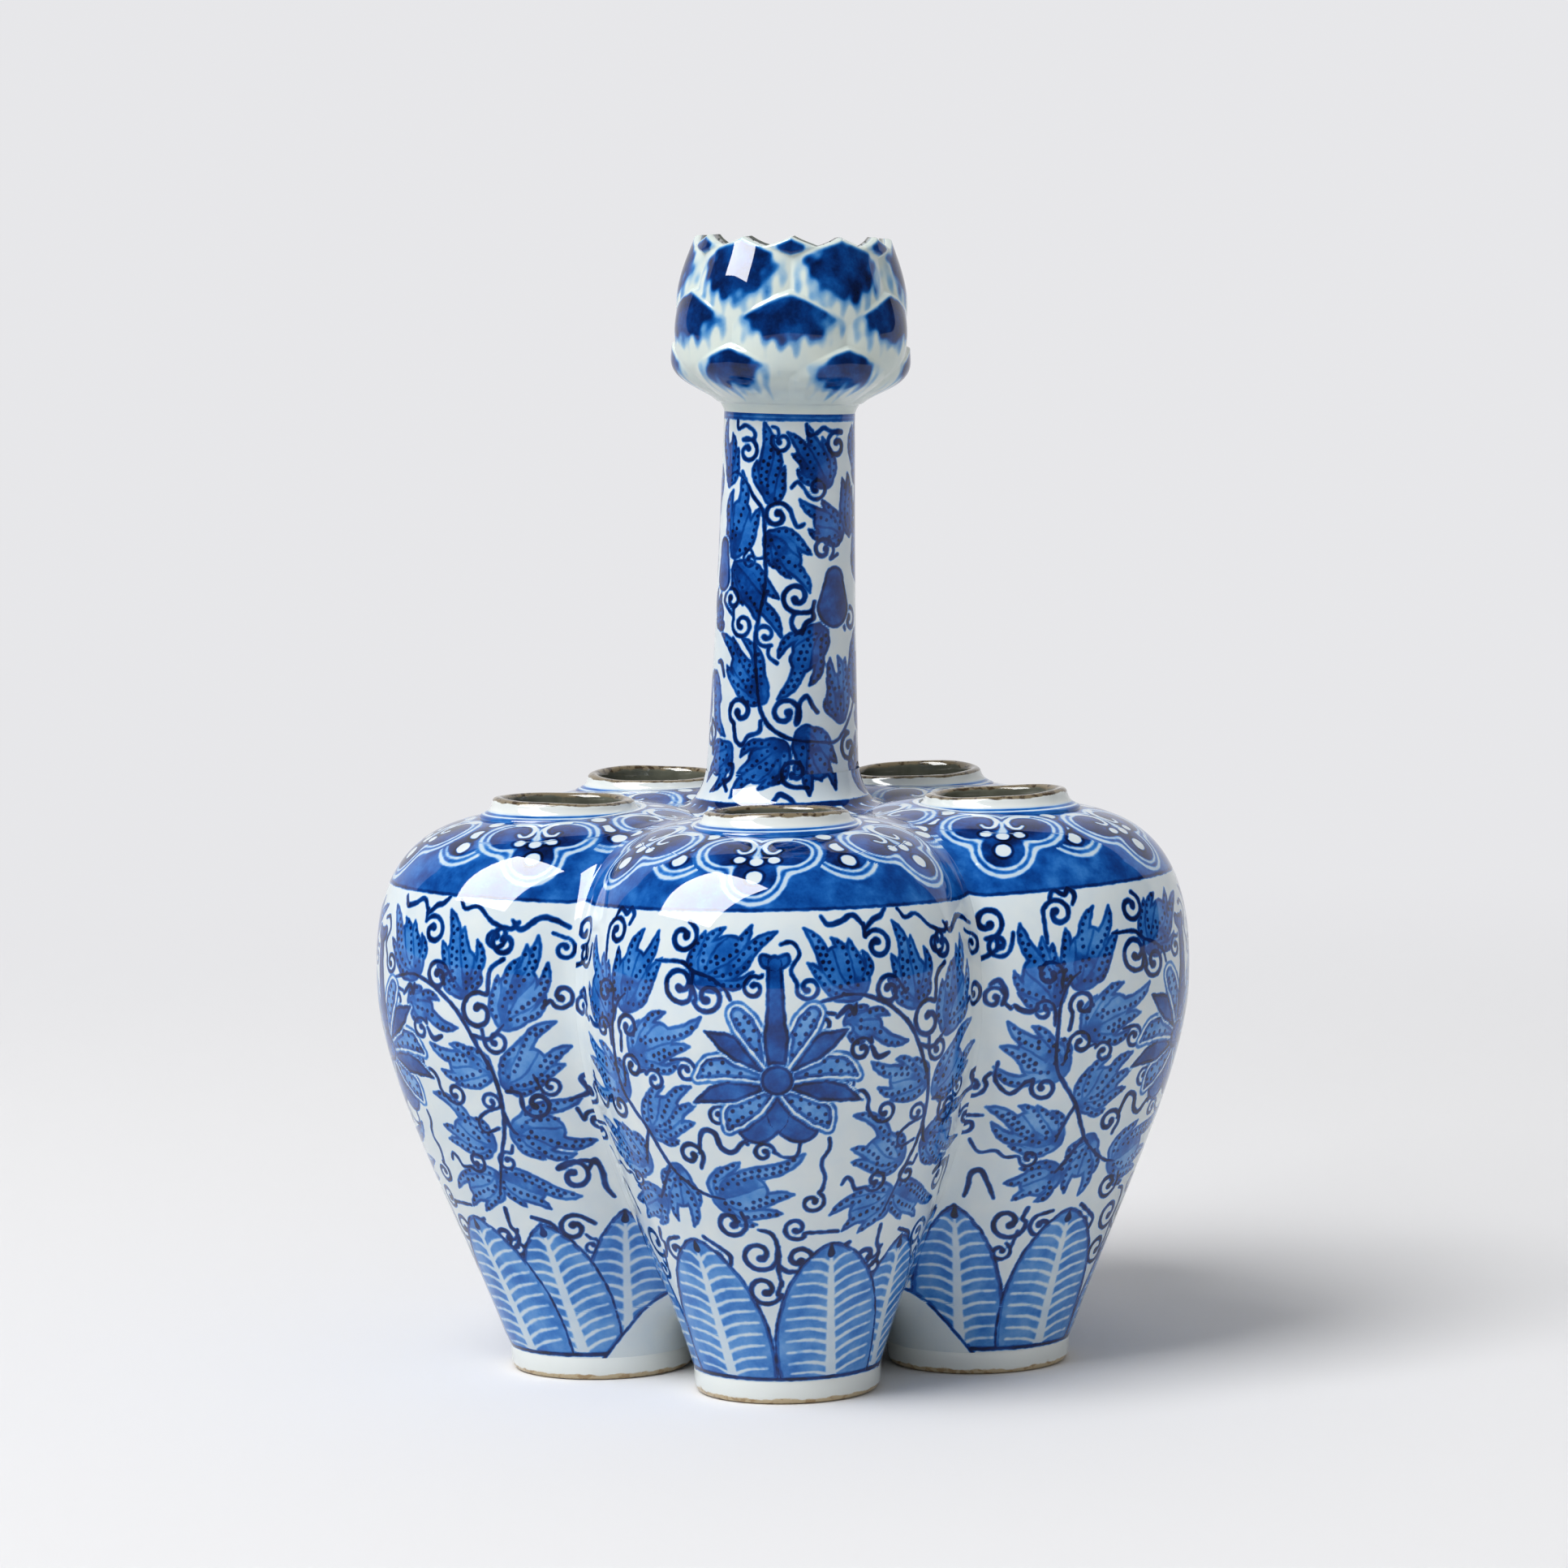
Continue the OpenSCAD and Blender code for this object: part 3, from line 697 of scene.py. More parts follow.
WAVES = (
    ((-56, 20.5), (-54.5, 23), (-51, 22), (-49.5, 23.3), (-47.5, 22), (-48.5, 20)),
    ((14, 23), (16, 21.2), (20, 21.7), (24, 22.8), (27, 20.5)),
    ((27, 19.5), (30.5, 21.5), (33, 22), (35.5, 23.5)),
    ((17, 2.6), (20.5, 4.6), (22, 3), (22.7, 5)), ((27, -4), (29, -6.3), (32.5, -5.7)),
    ((-25.5, -26.5), (-24.5, -22.8), (-22.5, -21.2), (-19.5, -22), (-18, -25), (-14.5, -26),
     (-11, -23.7), (-9.5, -24)),
    ((58, 18.5), (60.5, 16.5), (66.5, 18.7), (71, 18), (75, 16.3)),
    ((78, -13.5), (75, -15), (77, -18), (71, -20)),
    ((75, -36.5), (77.5, -34), (80, -37), (81, -40.5), (84, -43)),
    ((-73, 3.3), (-70.5, 4.2), (-68.5, 1.5), (-69.5, -0.8)),
    ((-66, -0.8), (-63.5, -2), (-60, -1.8), (-59.5, -0.3)),
    ((-80, -44), (-78.5, -41.5), (-77.5, -38.5), (-74, -37.8), (-71.5, -40.5), (-69, -44.3)),
)
print("scroll:", len(CURLS), "curls and", len(WAVES), "waves")

# %% Painting a lobe
SCROLL_LEAF_SIZE, FLOWER_CLIMB = 0.88, -10
SCROLL_CLIMBS, SCROLL_DEPTHS, DEPTH_DRIFT = (-8, 3), (1.0, 1.38), (0.88, 1.15)
ARCH_TURN, ARCH_END_TURN, ARCH_TOP = 78, 112, -30


def paint_lobe(painting):
    for base, *tips in SCROLL_LEAVES:
        depth = np.interp(base[1], SCROLL_CLIMBS, SCROLL_DEPTHS) * dice.uniform(*DEPTH_DRIFT)
        draw_leaf(painting, base, tips, MIDDLE * depth, SCROLL_LEAF_SIZE)
    for points in VINES:
        draw_vine(painting, points)
    for curl in CURLS:
        draw_curl(painting, *curl)
    for points in WAVES:
        draw_vine(painting, points, WAVE_WIDTH)
    draw_flower(painting, 0, FLOWER_CLIMB)
    draw_shoulder(painting)
    for foot, tip, width in BANANA_LEAVES:
        draw_banana_leaf(painting, foot, tip, width)
    bare_arch(painting)


def bare_arch(painting):
    """Leaves the arch between two feet white, with a line along it and round the foot."""
    turn = np.degrees(np.abs(painting.turn))
    near_foot = painting.climb < LEAF_FOOT + 2
    base_line = np.maximum(np.abs(painting.climb - LEAF_FOOT) - 0.5, (turn - ARCH_TURN) * 0.3)
    painting.line[near_foot] = np.minimum(painting.line, base_line)[near_foot]
    bare = (turn - ARCH_TURN) * 0.28 - (painting.climb - LEAF_FOOT) * 0.62
    bare[painting.climb > ARCH_TOP] = -FAR
    painting.wash = np.maximum(painting.wash, bare)
    painting.vein = np.maximum(painting.vein, bare)
    arch = np.where(turn < ARCH_END_TURN, np.abs(bare) - 0.3, FAR)
    painting.line = np.minimum(np.maximum(painting.line, bare), arch)


print("bare arch from", ARCH_TURN, "degrees off a lobe's outer line")

# %% [markdown]
# ## Shaders as sums
#
# A material is easier to read as a formula than as a heap of nodes. `Wire` wraps a socket,
# so that `1 - mask` adds a Math node, and `node` adds any other node with its settings and
# sockets.

# %% Wires
class Wire:
    """A socket that can be used in Python sums."""

    def __init__(self, tree, socket):
        self.tree, self.socket = tree, socket

    def node(self, kind, settings=None, **sockets):
        """Adds a node; sockets are found by identifier or by name, spaces as underscores."""
        made = self.tree.nodes.new(kind)
        for key, value in (settings or {}).items():
            setattr(made, key, value)
        for key, value in sockets.items():
            slot = next(s for s in made.inputs
                        if key in (s.identifier, s.name.replace(" ", "_")) and s.enabled)
            if isinstance(value, Wire):
                self.tree.links.new(value.socket, slot)
            else:
                slot.default_value = value
        return made

    def out(self, made, name=0):
        return Wire(self.tree, made.outputs[name])

    def math(self, operation, *values):
        made = self.tree.nodes.new("ShaderNodeMath")
        made.operation = operation
        for slot, value in zip(made.inputs, values):
            if isinstance(value, Wire):
                self.tree.links.new(value.socket, slot)
            else:
                slot.default_value = value
        return self.out(made)

    def __add__(self, other): return self.math("ADD", self, other)
    def __sub__(self, other): return self.math("SUBTRACT", self, other)
    def __rsub__(self, other): return self.math("SUBTRACT", other, self)
    def __mul__(self, other): return self.math("MULTIPLY", self, other)
    def __rpow__(self, other): return self.math("POWER", other, self)
    def __abs__(self): return self.math("ABSOLUTE", self)
    def at_least(self, other): return self.math("MAXIMUM", self, other)
    __radd__, __rmul__ = __add__, __mul__

    def step(self, start, end, low=0.0, high=1.0):
        """A soft step from low to high between two values."""
        made = self.node("ShaderNodeMapRange", {"interpolation_type": "SMOOTHSTEP"},
                         Value=self, From_Min=start, From_Max=end, To_Min=low, To_Max=high)
        return self.out(made)


def new_material(name):
    """A node material, its wire bench and its object coordinates."""
    material = bpy.data.materials.new(name)
    material.use_nodes = True
    material.node_tree.nodes.clear()
    bench = Wire(material.node_tree, None)
    place = bench.out(bench.node("ShaderNodeTexCoord"), "Object")
    return material, bench, place


def noise(bench, place, scale, detail=3.0):
    return bench.out(bench.node("ShaderNodeTexNoise", Vector=place, Scale=scale, Detail=detail))


print("sums a wire knows: +, -, *, a power and a soft step")

# %% [markdown]
# ## Cobalt under glaze
#
# Cobalt colours the glass above it, so it absorbs light like a dye: the more cobalt, the
# less light comes back, channel by channel, and thick cobalt turns blue-black. A mix of
# white and blue would look chalky instead. So the finish works out one number, the
# *density* of cobalt, and its absorption grows with it and with its square. Watery noise
# varies the wash, and paint pools into a darker line along its edges. The clear coat on
# top is the glaze with its slightly uneven skin. The inner skins, inside the mouths, get a
# dark grey instead of the white, as painted shade of the hollows.

# %% Cobalt under glaze
DYE_THIN, DYE_THICK = (2.45, 1.4, 0.06), (0.7, 0.09, 0.31)
GLAZE_WHITE = (0.70, 0.735, 0.715)
# The grey of the inner skins is painted shade of the hollows, not a colour of the glaze.
INNER_SHADE = (0.115, 0.12, 0.092)
# The lotus's white is its glaze; its inner grey is painted shade inside the cup.
LOTUS_WHITE, LOTUS_INNER_SHADE = (0.68, 0.72, 0.635), (0.52, 0.52, 0.46)
BLEED, GLAZE_IOR, COAT_ROUGHNESS = 0.05, 1.46, 0.03
SKIN_SCALE, SKIN_BUMP, GLOSS_SCALE = 260.0, 0.035, 90.0
WATER_SCALE, GRAIN_SCALE, TREMBLE_SCALE = 190.0, 1500.0, 620.0


def finish_glaze(bench, place, red, green, blue, roughness=0.07):
    """Puts a colour under a clear coat with a slightly uneven skin."""
    colour = bench.out(bench.node("ShaderNodeCombineColor", Red=red, Green=green, Blue=blue))
    skin = bench.node("ShaderNodeBump", Height=noise(bench, place, SKIN_SCALE, 2.0),
                      Strength=SKIN_BUMP, Distance=0.001)
    gloss = noise(bench, place, GLOSS_SCALE) * 0.06 + (roughness - 0.03)
    shader = bench.node("ShaderNodeBsdfPrincipled", Base_Color=colour, Roughness=gloss,
                        Normal=bench.out(skin), Specular_IOR_Level=0.0, Coat_Weight=1.0,
                        Coat_Roughness=COAT_ROUGHNESS, Coat_IOR=GLAZE_IOR)
    bench.node("ShaderNodeOutputMaterial", Surface=bench.out(shader))


def read_paint(bench, attribute):
    made = bench.node("ShaderNodeAttribute", {"attribute_name": attribute})
    return bench.out(made, "Fac")


def dyed(density, base):
    """A channel's share of light left by the cobalt, for red, green and blue."""
    return [math.exp(-1) ** (density * (density * thick + thin)) * channel
            for thin, thick, channel in zip(DYE_THIN, DYE_THICK, base)]


def painted_glaze(name, white, inner):
    """The brushwork's distances cut into washes and lines, and summed up as a density."""
    material, bench, place = new_material(name)
    wash, line, vein, fold, shade, inside = (
        read_paint(bench, layer) for layer in SKIN_LAYERS)
    water = noise(bench, place, WATER_SCALE, 4.0)
    grain = noise(bench, place, GRAIN_SCALE, 2.0)
    tremble = (noise(bench, place, TREMBLE_SCALE, 2.0) - 0.5) * 0.5
    washed = (wash + tremble).step(0.24, -0.2)
    rimmed = abs(wash + 0.26 + tremble).step(0.6, 0.12)
    folded = abs(fold + tremble).step(0.42, 0.06) * wash.step(-0.1, -0.5)
    drawn = (line + tremble).step(0.28, -0.26)
    scratched = (vein + tremble).step(0.3, -0.3)
    watery = water.step(0.25, 0.78, 0.7, 1.32) * (grain * 0.24 + 0.88)
    body = washed * shade * watery * (1 - scratched * 0.93)
    edges = rimmed.at_least(folded * 0.75) * (water * 0.7 + 0.5) * (1 - scratched)
    strokes = drawn * water.step(0.3, 0.7, 2.0, 2.9)
    density = (body + edges * 0.9).at_least(strokes + body * 0.2) + water * 2 * BLEED
    # Inner skins take a grey instead of the white: painted shade of the hollows.
    ground = [base * (1 - inside) + inside * grey for base, grey in zip(white, inner)]
    finish_glaze(bench, place, *dyed(density, ground))
    return material


PAINTED = painted_glaze("cobalt_under_glaze", GLAZE_WHITE, INNER_SHADE)
LOTUS_GLAZE = painted_glaze("lotus_glaze", LOTUS_WHITE, LOTUS_INNER_SHADE)
print("painted finishes:", PAINTED.name, LOTUS_GLAZE.name)

# %% [markdown]
# ## Skins with walls
#
# A piece is gathered grid by grid: a dense outer skin that carries the paint, a sparse
# inner skin and strips that close the wall between them. A Solidify modifier would repeat
# the dense skin inside, where hardly anything is seen. Normals come from the grid itself,
# so the light runs on without a break from one piece to the next.

# %% Gathering a piece
class Shell:
    """The points, normals, flat map, paint and faces of a piece with a wall."""

    def __init__(self):
        self.points, self.normals, self.uvs = [], [], []
        self.paint = {key: [] for key in SKIN_LAYERS}
        self.faces, self.strips, self.count = [], [], 0

    def grid(self, points, patch, paint=None, inward=False):
        """Adds a grid of points; patch is its corner and size in the flat map."""
        rows, cols = points.shape[:2]
        normal = np.cross(np.gradient(points, axis=1), np.gradient(points, axis=0))
        normal /= np.maximum(np.linalg.norm(normal, axis=2, keepdims=True), 1e-12)
        index = np.arange(rows * cols).reshape(rows, cols) + self.count
        quads = np.stack([index[:-1, :-1], index[:-1, 1:], index[1:, 1:], index[1:, :-1]], -1)
        quads = quads.reshape(-1, 4)
        self.faces += (quads[:, ::-1] if inward else quads).tolist()
        self.points.append(points.reshape(-1, 3))
        self.normals.append((-normal if inward else normal).reshape(-1, 3))
        u, v = np.meshgrid(np.linspace(0, 1, cols), np.linspace(0, 1, rows))
        self.uvs.append(np.stack([patch[0] + u * patch[2], patch[1] + v * patch[3]],
                                 -1).reshape(-1, 2))
        for key, parts in self.paint.items():
            plain = {"shade": 0.0, "inside": float(inward)}.get(key, FAR)
            blank = np.full(rows * cols, plain)
            parts.append((paint or {}).get(key, blank))
        self.count += rows * cols
        return index

    def stitch(self, dense, sparse, inward=False):
        """Closes the strip between a dense edge and a sparse one."""
        many = (len(dense) - 1) // (len(sparse) - 1)
        for j in range(len(sparse) - 1):
            start = j * many
            half = start + many // 2
            strip = [(dense[k], dense[k + 1], sparse[j if k < half else j + 1])
                     for k in range(start, start + many)]
            strip.append((dense[half], sparse[j + 1], sparse[j]))
            self.strips += [list(map(int, t[::-1] if inward else t)) for t in strip]

    def wall(self, outside, inside, patch, inner_patch, paint):
        """Adds an outer and a sparse inner skin, and closes the wall at both ends."""
        outer = self.grid(outside, patch, paint)
        inner = self.grid(inside, inner_patch, inward=True)
        self.stitch(outer[0], inner[0], inward=True)
        self.stitch(outer[-1], inner[-1])

    def build(self, name, material, turn=0.0):
        """Makes the mesh, turned round the vase's axis to its place."""
        c, s = math.cos(turn), math.sin(turn)
        spin = np.array([[c, s, 0], [-s, c, 0], [0, 0, 1]])
        mesh = bpy.data.meshes.new(name)
        mesh.from_pydata((np.concatenate(self.points) @ spin * MM).tolist(), [],
                         self.faces + self.strips)
        mesh.shade_smooth()
        mesh.normals_split_custom_set_from_vertices((np.concatenate(self.normals) @ spin).tolist())
        for key, parts in self.paint.items():
            values = np.concatenate(parts).astype(np.float32)
            mesh.attributes.new(key, "FLOAT", "POINT").data.foreach_set("value", values)
        corners = np.empty(len(mesh.loops), np.int32)
        mesh.loops.foreach_get("vertex_index", corners)
        flat = np.concatenate(self.uvs)[corners]
        flat[len(self.faces) * 4:] = self.uvs[-1].mean(0)
        mesh.uv_layers.new(name="OFBake").uv.foreach_set("vector", flat.ravel().astype(np.float32))
        mesh.materials.append(material)
        piece = bpy.data.objects.new(name, mesh)
        bpy.context.collection.objects.link(piece)
        return piece


def hand_over(piece, slot, *nodes):
    """Ties a piece to the frame: its body and the solids it stands for, which it hides. Its finish,
    slot, is not used.
    """
    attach(piece, "root")
    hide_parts(*nodes)
    print(piece.name, "has", len(piece.data.polygons), "faces")


print("layers on a skin:", ", ".join(SKIN_LAYERS))

# %% [markdown]
# ## The five lobes
#
# Each lobe has a lower and an upper half, as it was luted at the belly. A half has a
# front sheet between its two seams and a back sheet: the inner side of the leg below, the
# slope to the neck above. The paint is worked out once and turned to all five places.

# %% Sheets of a lobe
FRONT_COLS, BACK_COLS, THIN = 336, 72, 6
FOOT_CLIMB = float(np.interp(FOOT_H - 0.4, lower_curve[:, 1], CLIMB[:len(STEPS)]))
TOP_CLIMB = float(np.interp(-COLLAR_SEAT_R + 0.3, -upper_curve[:, 0], CLIMB[len(STEPS) - 1:]))
# Lowest and highest climb, rows, and the rows that the back sheet has too
HALVES = {"lower": (FOOT_CLIMB, 0.0, 228, slice(0, 133)),
          "upper": (0.0, TOP_CLIMB, 144, slice(102, 145))}


def lobe_sheets(low, high, rows, back_rows):
    """Turns and climbs of a half's front and back sheets."""
    climb = np.linspace(low, high, rows + 1)
    front = seam_turn(climb, False)[:, None] * np.linspace(-1, 1, FRONT_COLS + 1)
    far = seam_turn(climb[back_rows], True)[:, None]
    back = far + (math.tau - 2 * far) * np.linspace(0, 1, BACK_COLS + 1)
    return [(front, np.repeat(climb[:, None], FRONT_COLS + 1, 1)),
            (back, np.repeat(climb[back_rows][:, None], BACK_COLS + 1, 1))]


sheets = {half: lobe_sheets(*size) for half, size in HALVES.items()}
every = [sheet for pair in sheets.values() for sheet in pair]
lobe_paint = Painting(np.concatenate([turn.ravel() for turn, _ in every]),
                      np.concatenate([climb.ravel() for _, climb in every]),
                      lambda climb: wall_at(climb)[0])
paint_lobe(lobe_paint)
print("painted", lobe_paint.turn.size, "points of a lobe")

# %% Build the lobes
SETTLED_ROWS = 12
FRONT_PATCH, BACK_PATCH, INNER_PATCH = (
    (0.01, 0.25, 0.98, 0.74), (0.01, 0.01, 0.47, 0.22), (0.52, 0.01, 0.47, 0.22))


def settle_on_foot(points):
    """Trims the lowest rows of a lower half to a level line inside the foot ring."""
    fade = np.clip(1 - np.arange(len(points)) / SETTLED_ROWS, 0, 1)[:, None]
    points[..., 2] += fade * (FOOT_H - 0.5 - points[:1, :, 2])
    return points


def lobe_half(half, start):
    """A half's shell with the paint from a start on, and where the next half's begins."""
    shell = Shell()
    for (turn, climb), patch in zip(sheets[half], (FRONT_PATCH, BACK_PATCH)):
        stop = start + turn.size
        points = softened(signed_turn(turn), climb)
        thin_turn, thin_climb = turn[::THIN, ::THIN], climb[::THIN, ::THIN]
        inside = lobe_point(thin_turn, thin_climb, -WALL)
        if half == "lower":
            points, inside = settle_on_foot(points), settle_on_foot(inside)
        shell.wall(points, inside, patch, INNER_PATCH, lobe_paint.layers(slice(start, stop)))
        start = stop
    return shell, start


lower_shell, paint_next = lobe_half("lower", 0)
upper_shell, _ = lobe_half("upper", paint_next)
for number, lobe in enumerate(LOBES):
    turn = FRONT_ANGLE + number * LOBE_STEP
    lower = lower_shell.build(f"painted_lobe_{lobe}_lower", PAINTED, turn)
    hand_over(lower, "painted_glaze", f"lobe_{lobe}_lower", f"seam_{lobe}")
    upper = upper_shell.build(f"painted_lobe_{lobe}_upper", PAINTED, turn)
    hand_over(upper, "painted_glaze", f"lobe_{lobe}_upper")

# %% [markdown]
# ## The neck
#
# The neck is a thrown tube, a little narrower in the middle, that leans to the right. It
# carries the same scroll, wound round it as one vine with leaves, curls and two gourds.
# Places on it are in degrees from the front and in mm of height. The front and the back
# get the same painting.

# %% Neck and its painting
NECK_FOOT_Z, NECK_SKIN_Z, NECK_TOP_Z = 113.0, 117.0, 201.4
NECK_FOOT_R, NECK_TOP_R, NECK_WAIST, NECK_WALL = 16.8, 13.9, 0.4, 3.4
NECK_LEAN = math.radians(2.2)
NECK_COLS, NECK_ROWS = 288, 216
FULL_PATCH, SPARE_PATCH = (0.01, 0.22, 0.98, 0.77), (0.01, 0.01, 0.98, 0.18)


def neck_point(turn, height, radius):
    """A point round the neck's leaning axis."""
    x, y, z = radius * np.cos(turn), radius * np.sin(turn), height - NECK_FOOT_Z
    return np.stack([x * math.cos(NECK_LEAN) + z * math.sin(NECK_LEAN), y,
                     NECK_FOOT_Z - x * math.sin(NECK_LEAN) + z * math.cos(NECK_LEAN)], -1)


def neck_radius(height):
    t = np.clip((np.asarray(height) - NECK_FOOT_Z) / (NECK_TOP_Z - NECK_FOOT_Z), 0, 1)
    return NECK_FOOT_R + (NECK_TOP_R - NECK_FOOT_R) * t - NECK_WAIST * np.sin(math.pi * t)


NECK_LEAVES = (
    ((-60, 186), (-66, 200), (-57, 197), (-48, 194)),
    ((-13, 182.5), (-21, 199.5), (-27, 191.5), (-12, 195), (-2, 190.5)),
    ((37, 187), (0, 197.5), (4, 193), (9, 189.7), (18, 199), (31, 196.5)),
    ((-49, 171.5), (-60, 181.5), (-53, 185), (-42, 189), (-23, 181.5)),
    ((52, 176), (11, 183.5), (31, 183.5), (19, 177.3), (34, 174.5)),
    ((-15, 176), (22, 172), (21, 164), (5, 167), (-7, 169)),
    ((-47, 169.5), (-5, 162.6), (-2, 154.5), (-22, 157.5), (-37, 161)),
    ((-15, 141), (-62, 154.5), (-46, 154), (-36, 154), (-52, 148), (-47, 145)),
    ((33, 156.5), (-4, 150.3), (-4, 141.5), (21, 144.5), (28, 149)),
    ((52, 137), (40, 150), (48, 150.5), (58, 150), (37, 146), (35, 141.5)),
    ((-74, 146), (-60, 143), (-60, 139), (-50, 133)),
    ((1, 131.5), (-33, 129), (-35, 125.5), (-37, 120.5), (-17, 122.5), (-6, 123.5)),
    ((17, 135), (20, 121), (31, 124), (42, 122), (46, 128)),
    ((-44, 131), (-68, 129), (-71, 123.5), (-60, 121.5), (-50, 125)),
    ((66, 176), (54, 188), (62, 189), (72, 186)), ((-70, 156), (-74, 164), (-66, 163), (-60, 157)),
    ((80, 187), (72, 199), (81, 200), (90, 196), (92, 189)),
    ((86, 166), (74, 178), (84, 181), (94, 178), (97, 171)),
    ((74, 141), (68, 153), (77, 156), (88, 153), (92, 146)),
    ((78, 121), (66, 131), (76, 134), (88, 132), (94, 125)),
    ((-88, 178), (-78, 190), (-88, 193), (-98, 190), (-102, 183)),
    ((-90, 134), (-80, 146), (-90, 149), (-100, 146), (-104, 139)),
)
NECK_CURLS = (
    ((-37, 193.4), 1.9, 120, -1, (-50, 199.8), (-48.5, 198), (-40, 198.8), (-31, 197.6),
     (-31, 196)),
    ((-5.5, 195.6), 1.6, 150, 1, (-14, 198.7), (-9, 198.2), (-8.5, 196.4)),
    ((47, 195), 2.1, 60, 1, (16, 199.3), (18, 197), (25, 197.4), (32, 198.6), (40, 197.8)),
    ((26, 186), 1.8, 200, 1, (4, 186), (9, 187.2), (15, 185.7)),
    ((-8, 180), 2.1, 20, 1, (15, 178.3), (9, 177.8), (5, 180)),
    ((-31, 170.6), 1.3, 120, 1, (-19, 171), (-26, 171), (-31, 172.8)),
    ((33, 173), 1.9, -30, 1, (48, 172), (40, 171)), ((10, 163), 2.3, -80, -1, (25, 162), (22, 160)),
    ((-49, 162), 1.9, 200, -1, (-47, 158.5)),
    ((-37, 156.8), 1.9, 180, 1, (-47, 160.5), (-46.5, 158)),
    ((-15, 155), 1.8, -60, -1, (-5, 149), (-12, 150.5), (-12, 152.5)),
    ((-35, 138.5), 2.2, -120, -1, (-17, 136.7), (-18, 134.5), (-27, 133.4), (-32, 131.5),
     (-38, 132.4), (-40.5, 135)),
    ((2, 138.5), 2.3, -30, 1, (28, 138.8), (24, 140), (19, 142.2), (13, 140.5), (10.5, 136.5)),
    ((10, 126), 2.2, -90, -1, (20, 122.5), (15, 122.8)), ((-73, 133), 2.0, 90, -1, (-66, 129)),
    ((62, 131), 2.2, 90, 1, (55, 134.5)), ((66, 158), 2.1, 180, -1, (58, 156)),
)
NECK_WAVES = (
    ((23, 160.5), (24, 158.6), (18, 157.6), (15, 156), (10, 155.6), (6, 157.5), (8, 159.8)),
    ((-45, 127.3), (-40, 127), (-42, 124.5), (-47, 124), (-42, 122)),
    ((-5, 119.5), (-1, 121.3), (5, 120.5), (9, 119.3)), ((-66, 148.5), (-60, 148.4), (-55, 145.6)),
)
NECK_VINE = ((-62, 187.5), (-50, 188.8), (-38, 187), (-30, 184), (-21, 181.2), (-18, 176),
             (-17.5, 172), (-16.5, 166), (-20, 160), (-24, 154), (-22, 147), (-19, 141),
             (-16, 138.3), (-11, 136), (-1, 134), (9, 133), (30, 132.5), (45, 132.5), (56, 135),
             (70, 140), (82, 147))
# Turn, lowest and highest point, half width
GOURDS = ((45, 156.5, 169.5, 4.6), (-64, 163.5, 175, 2.8))
GOURD_TAPER, GOURD_SHADE, GOURD_HALO = 0.6, STRONG * 1.2, 0.5
NECK_LINE, NECK_DEPTHS = 200.7, (1.5, 2.0)


def paint_neck(painting):
    for side in (0, 180):
        def shift(points):
            return [(a + side, h) for a, h in points]
        for base, *tips in NECK_LEAVES:
            base, *tips = shift([base] + tips)
            draw_leaf(painting, base, tips, MIDDLE * dice.uniform(*NECK_DEPTHS))
        draw_vine(painting, shift(NECK_VINE))
        for centre, radius, start, hand, *stem in NECK_CURLS:
            draw_curl(painting, *shift([centre]), radius, start, hand, *shift(stem))
        for points in NECK_WAVES:
            draw_vine(painting, shift(points), WAVE_WIDTH)
        for turn, low, high, wide in GOURDS:
            slim = wide * GOURD_TAPER
            gourd = painting.stroke(turn + side, [(0, low + wide), (0, high - slim)], (wide, slim))
            painting.fill(*gourd, GOURD_SHADE, GOURD_HALO)
    top_line = np.abs(painting.climb - NECK_LINE) - 0.75
    painting.fill(np.arange(painting.climb.size), top_line, MIDDLE)


neck_turn, neck_height = np.meshgrid(np.linspace(0, math.tau, NECK_COLS + 1),
                                     np.linspace(NECK_SKIN_Z, NECK_TOP_Z, NECK_ROWS + 1))
neck_turn = neck_turn + math.pi / 2
neck_paint = Painting((neck_turn - FRONT_ANGLE).ravel(), neck_height.ravel(), neck_radius)
paint_neck(neck_paint)


def turned_piece(name, outside, inside, paint, material):
    """A round piece from an outer and a sparse inner grid, closed at both ends."""
    shell = Shell()
    shell.wall(outside, inside, FULL_PATCH, SPARE_PATCH, paint.layers())
    return shell.build(name, material)


neck = turned_piece(
    "painted_neck", neck_point(neck_turn, neck_height, neck_radius(neck_height)),
    neck_point(neck_turn, neck_height, neck_radius(neck_height) - NECK_WALL)[::THIN, ::THIN],
    neck_paint, PAINTED)
hand_over(neck, "painted_glaze", "neck")

# %% [markdown]
# ## The flared foot of the neck
#
# At its foot the neck runs out into the shoulders of the lobes in one hollow curve. Its
# surface is the higher of the two, the flare and the shoulder, with a soft change between.

# %% Flare
FLARE_COLS, FLARE_FLICKS, FLICK_WIDTH, FLARE_LINE = 288, 34, 1.1, 118.6
FLARE_BLEND, FLARE_CORE_R, FLARE_DIP_R, FLARE_UNDER_Z = 4, 17.5, 25.5, 116
VALLEY_REACH, VALLEY_FILL = 5, 1.25
FLARE_EDGE, FLARE_BEND = (29.0, 113.5), (24.0, 117.0)
flare_up = bezier([FLARE_BEND, (20.6, 117.8), (17.6, 118.6), (16.35, 125.5)],
                  np.linspace(0, 1, 46)[1:])
flare_line = np.vstack([np.linspace(FLARE_EDGE, FLARE_BEND, 16), flare_up])
flare_turn = np.linspace(0, math.tau, FLARE_COLS + 1) + math.pi / 2
MOUTH_CIRCLE_R = FOOT_CIRCLE_R + (SHOULDER_Z - FOOT_H) * math.tan(LOBE_LEAN)


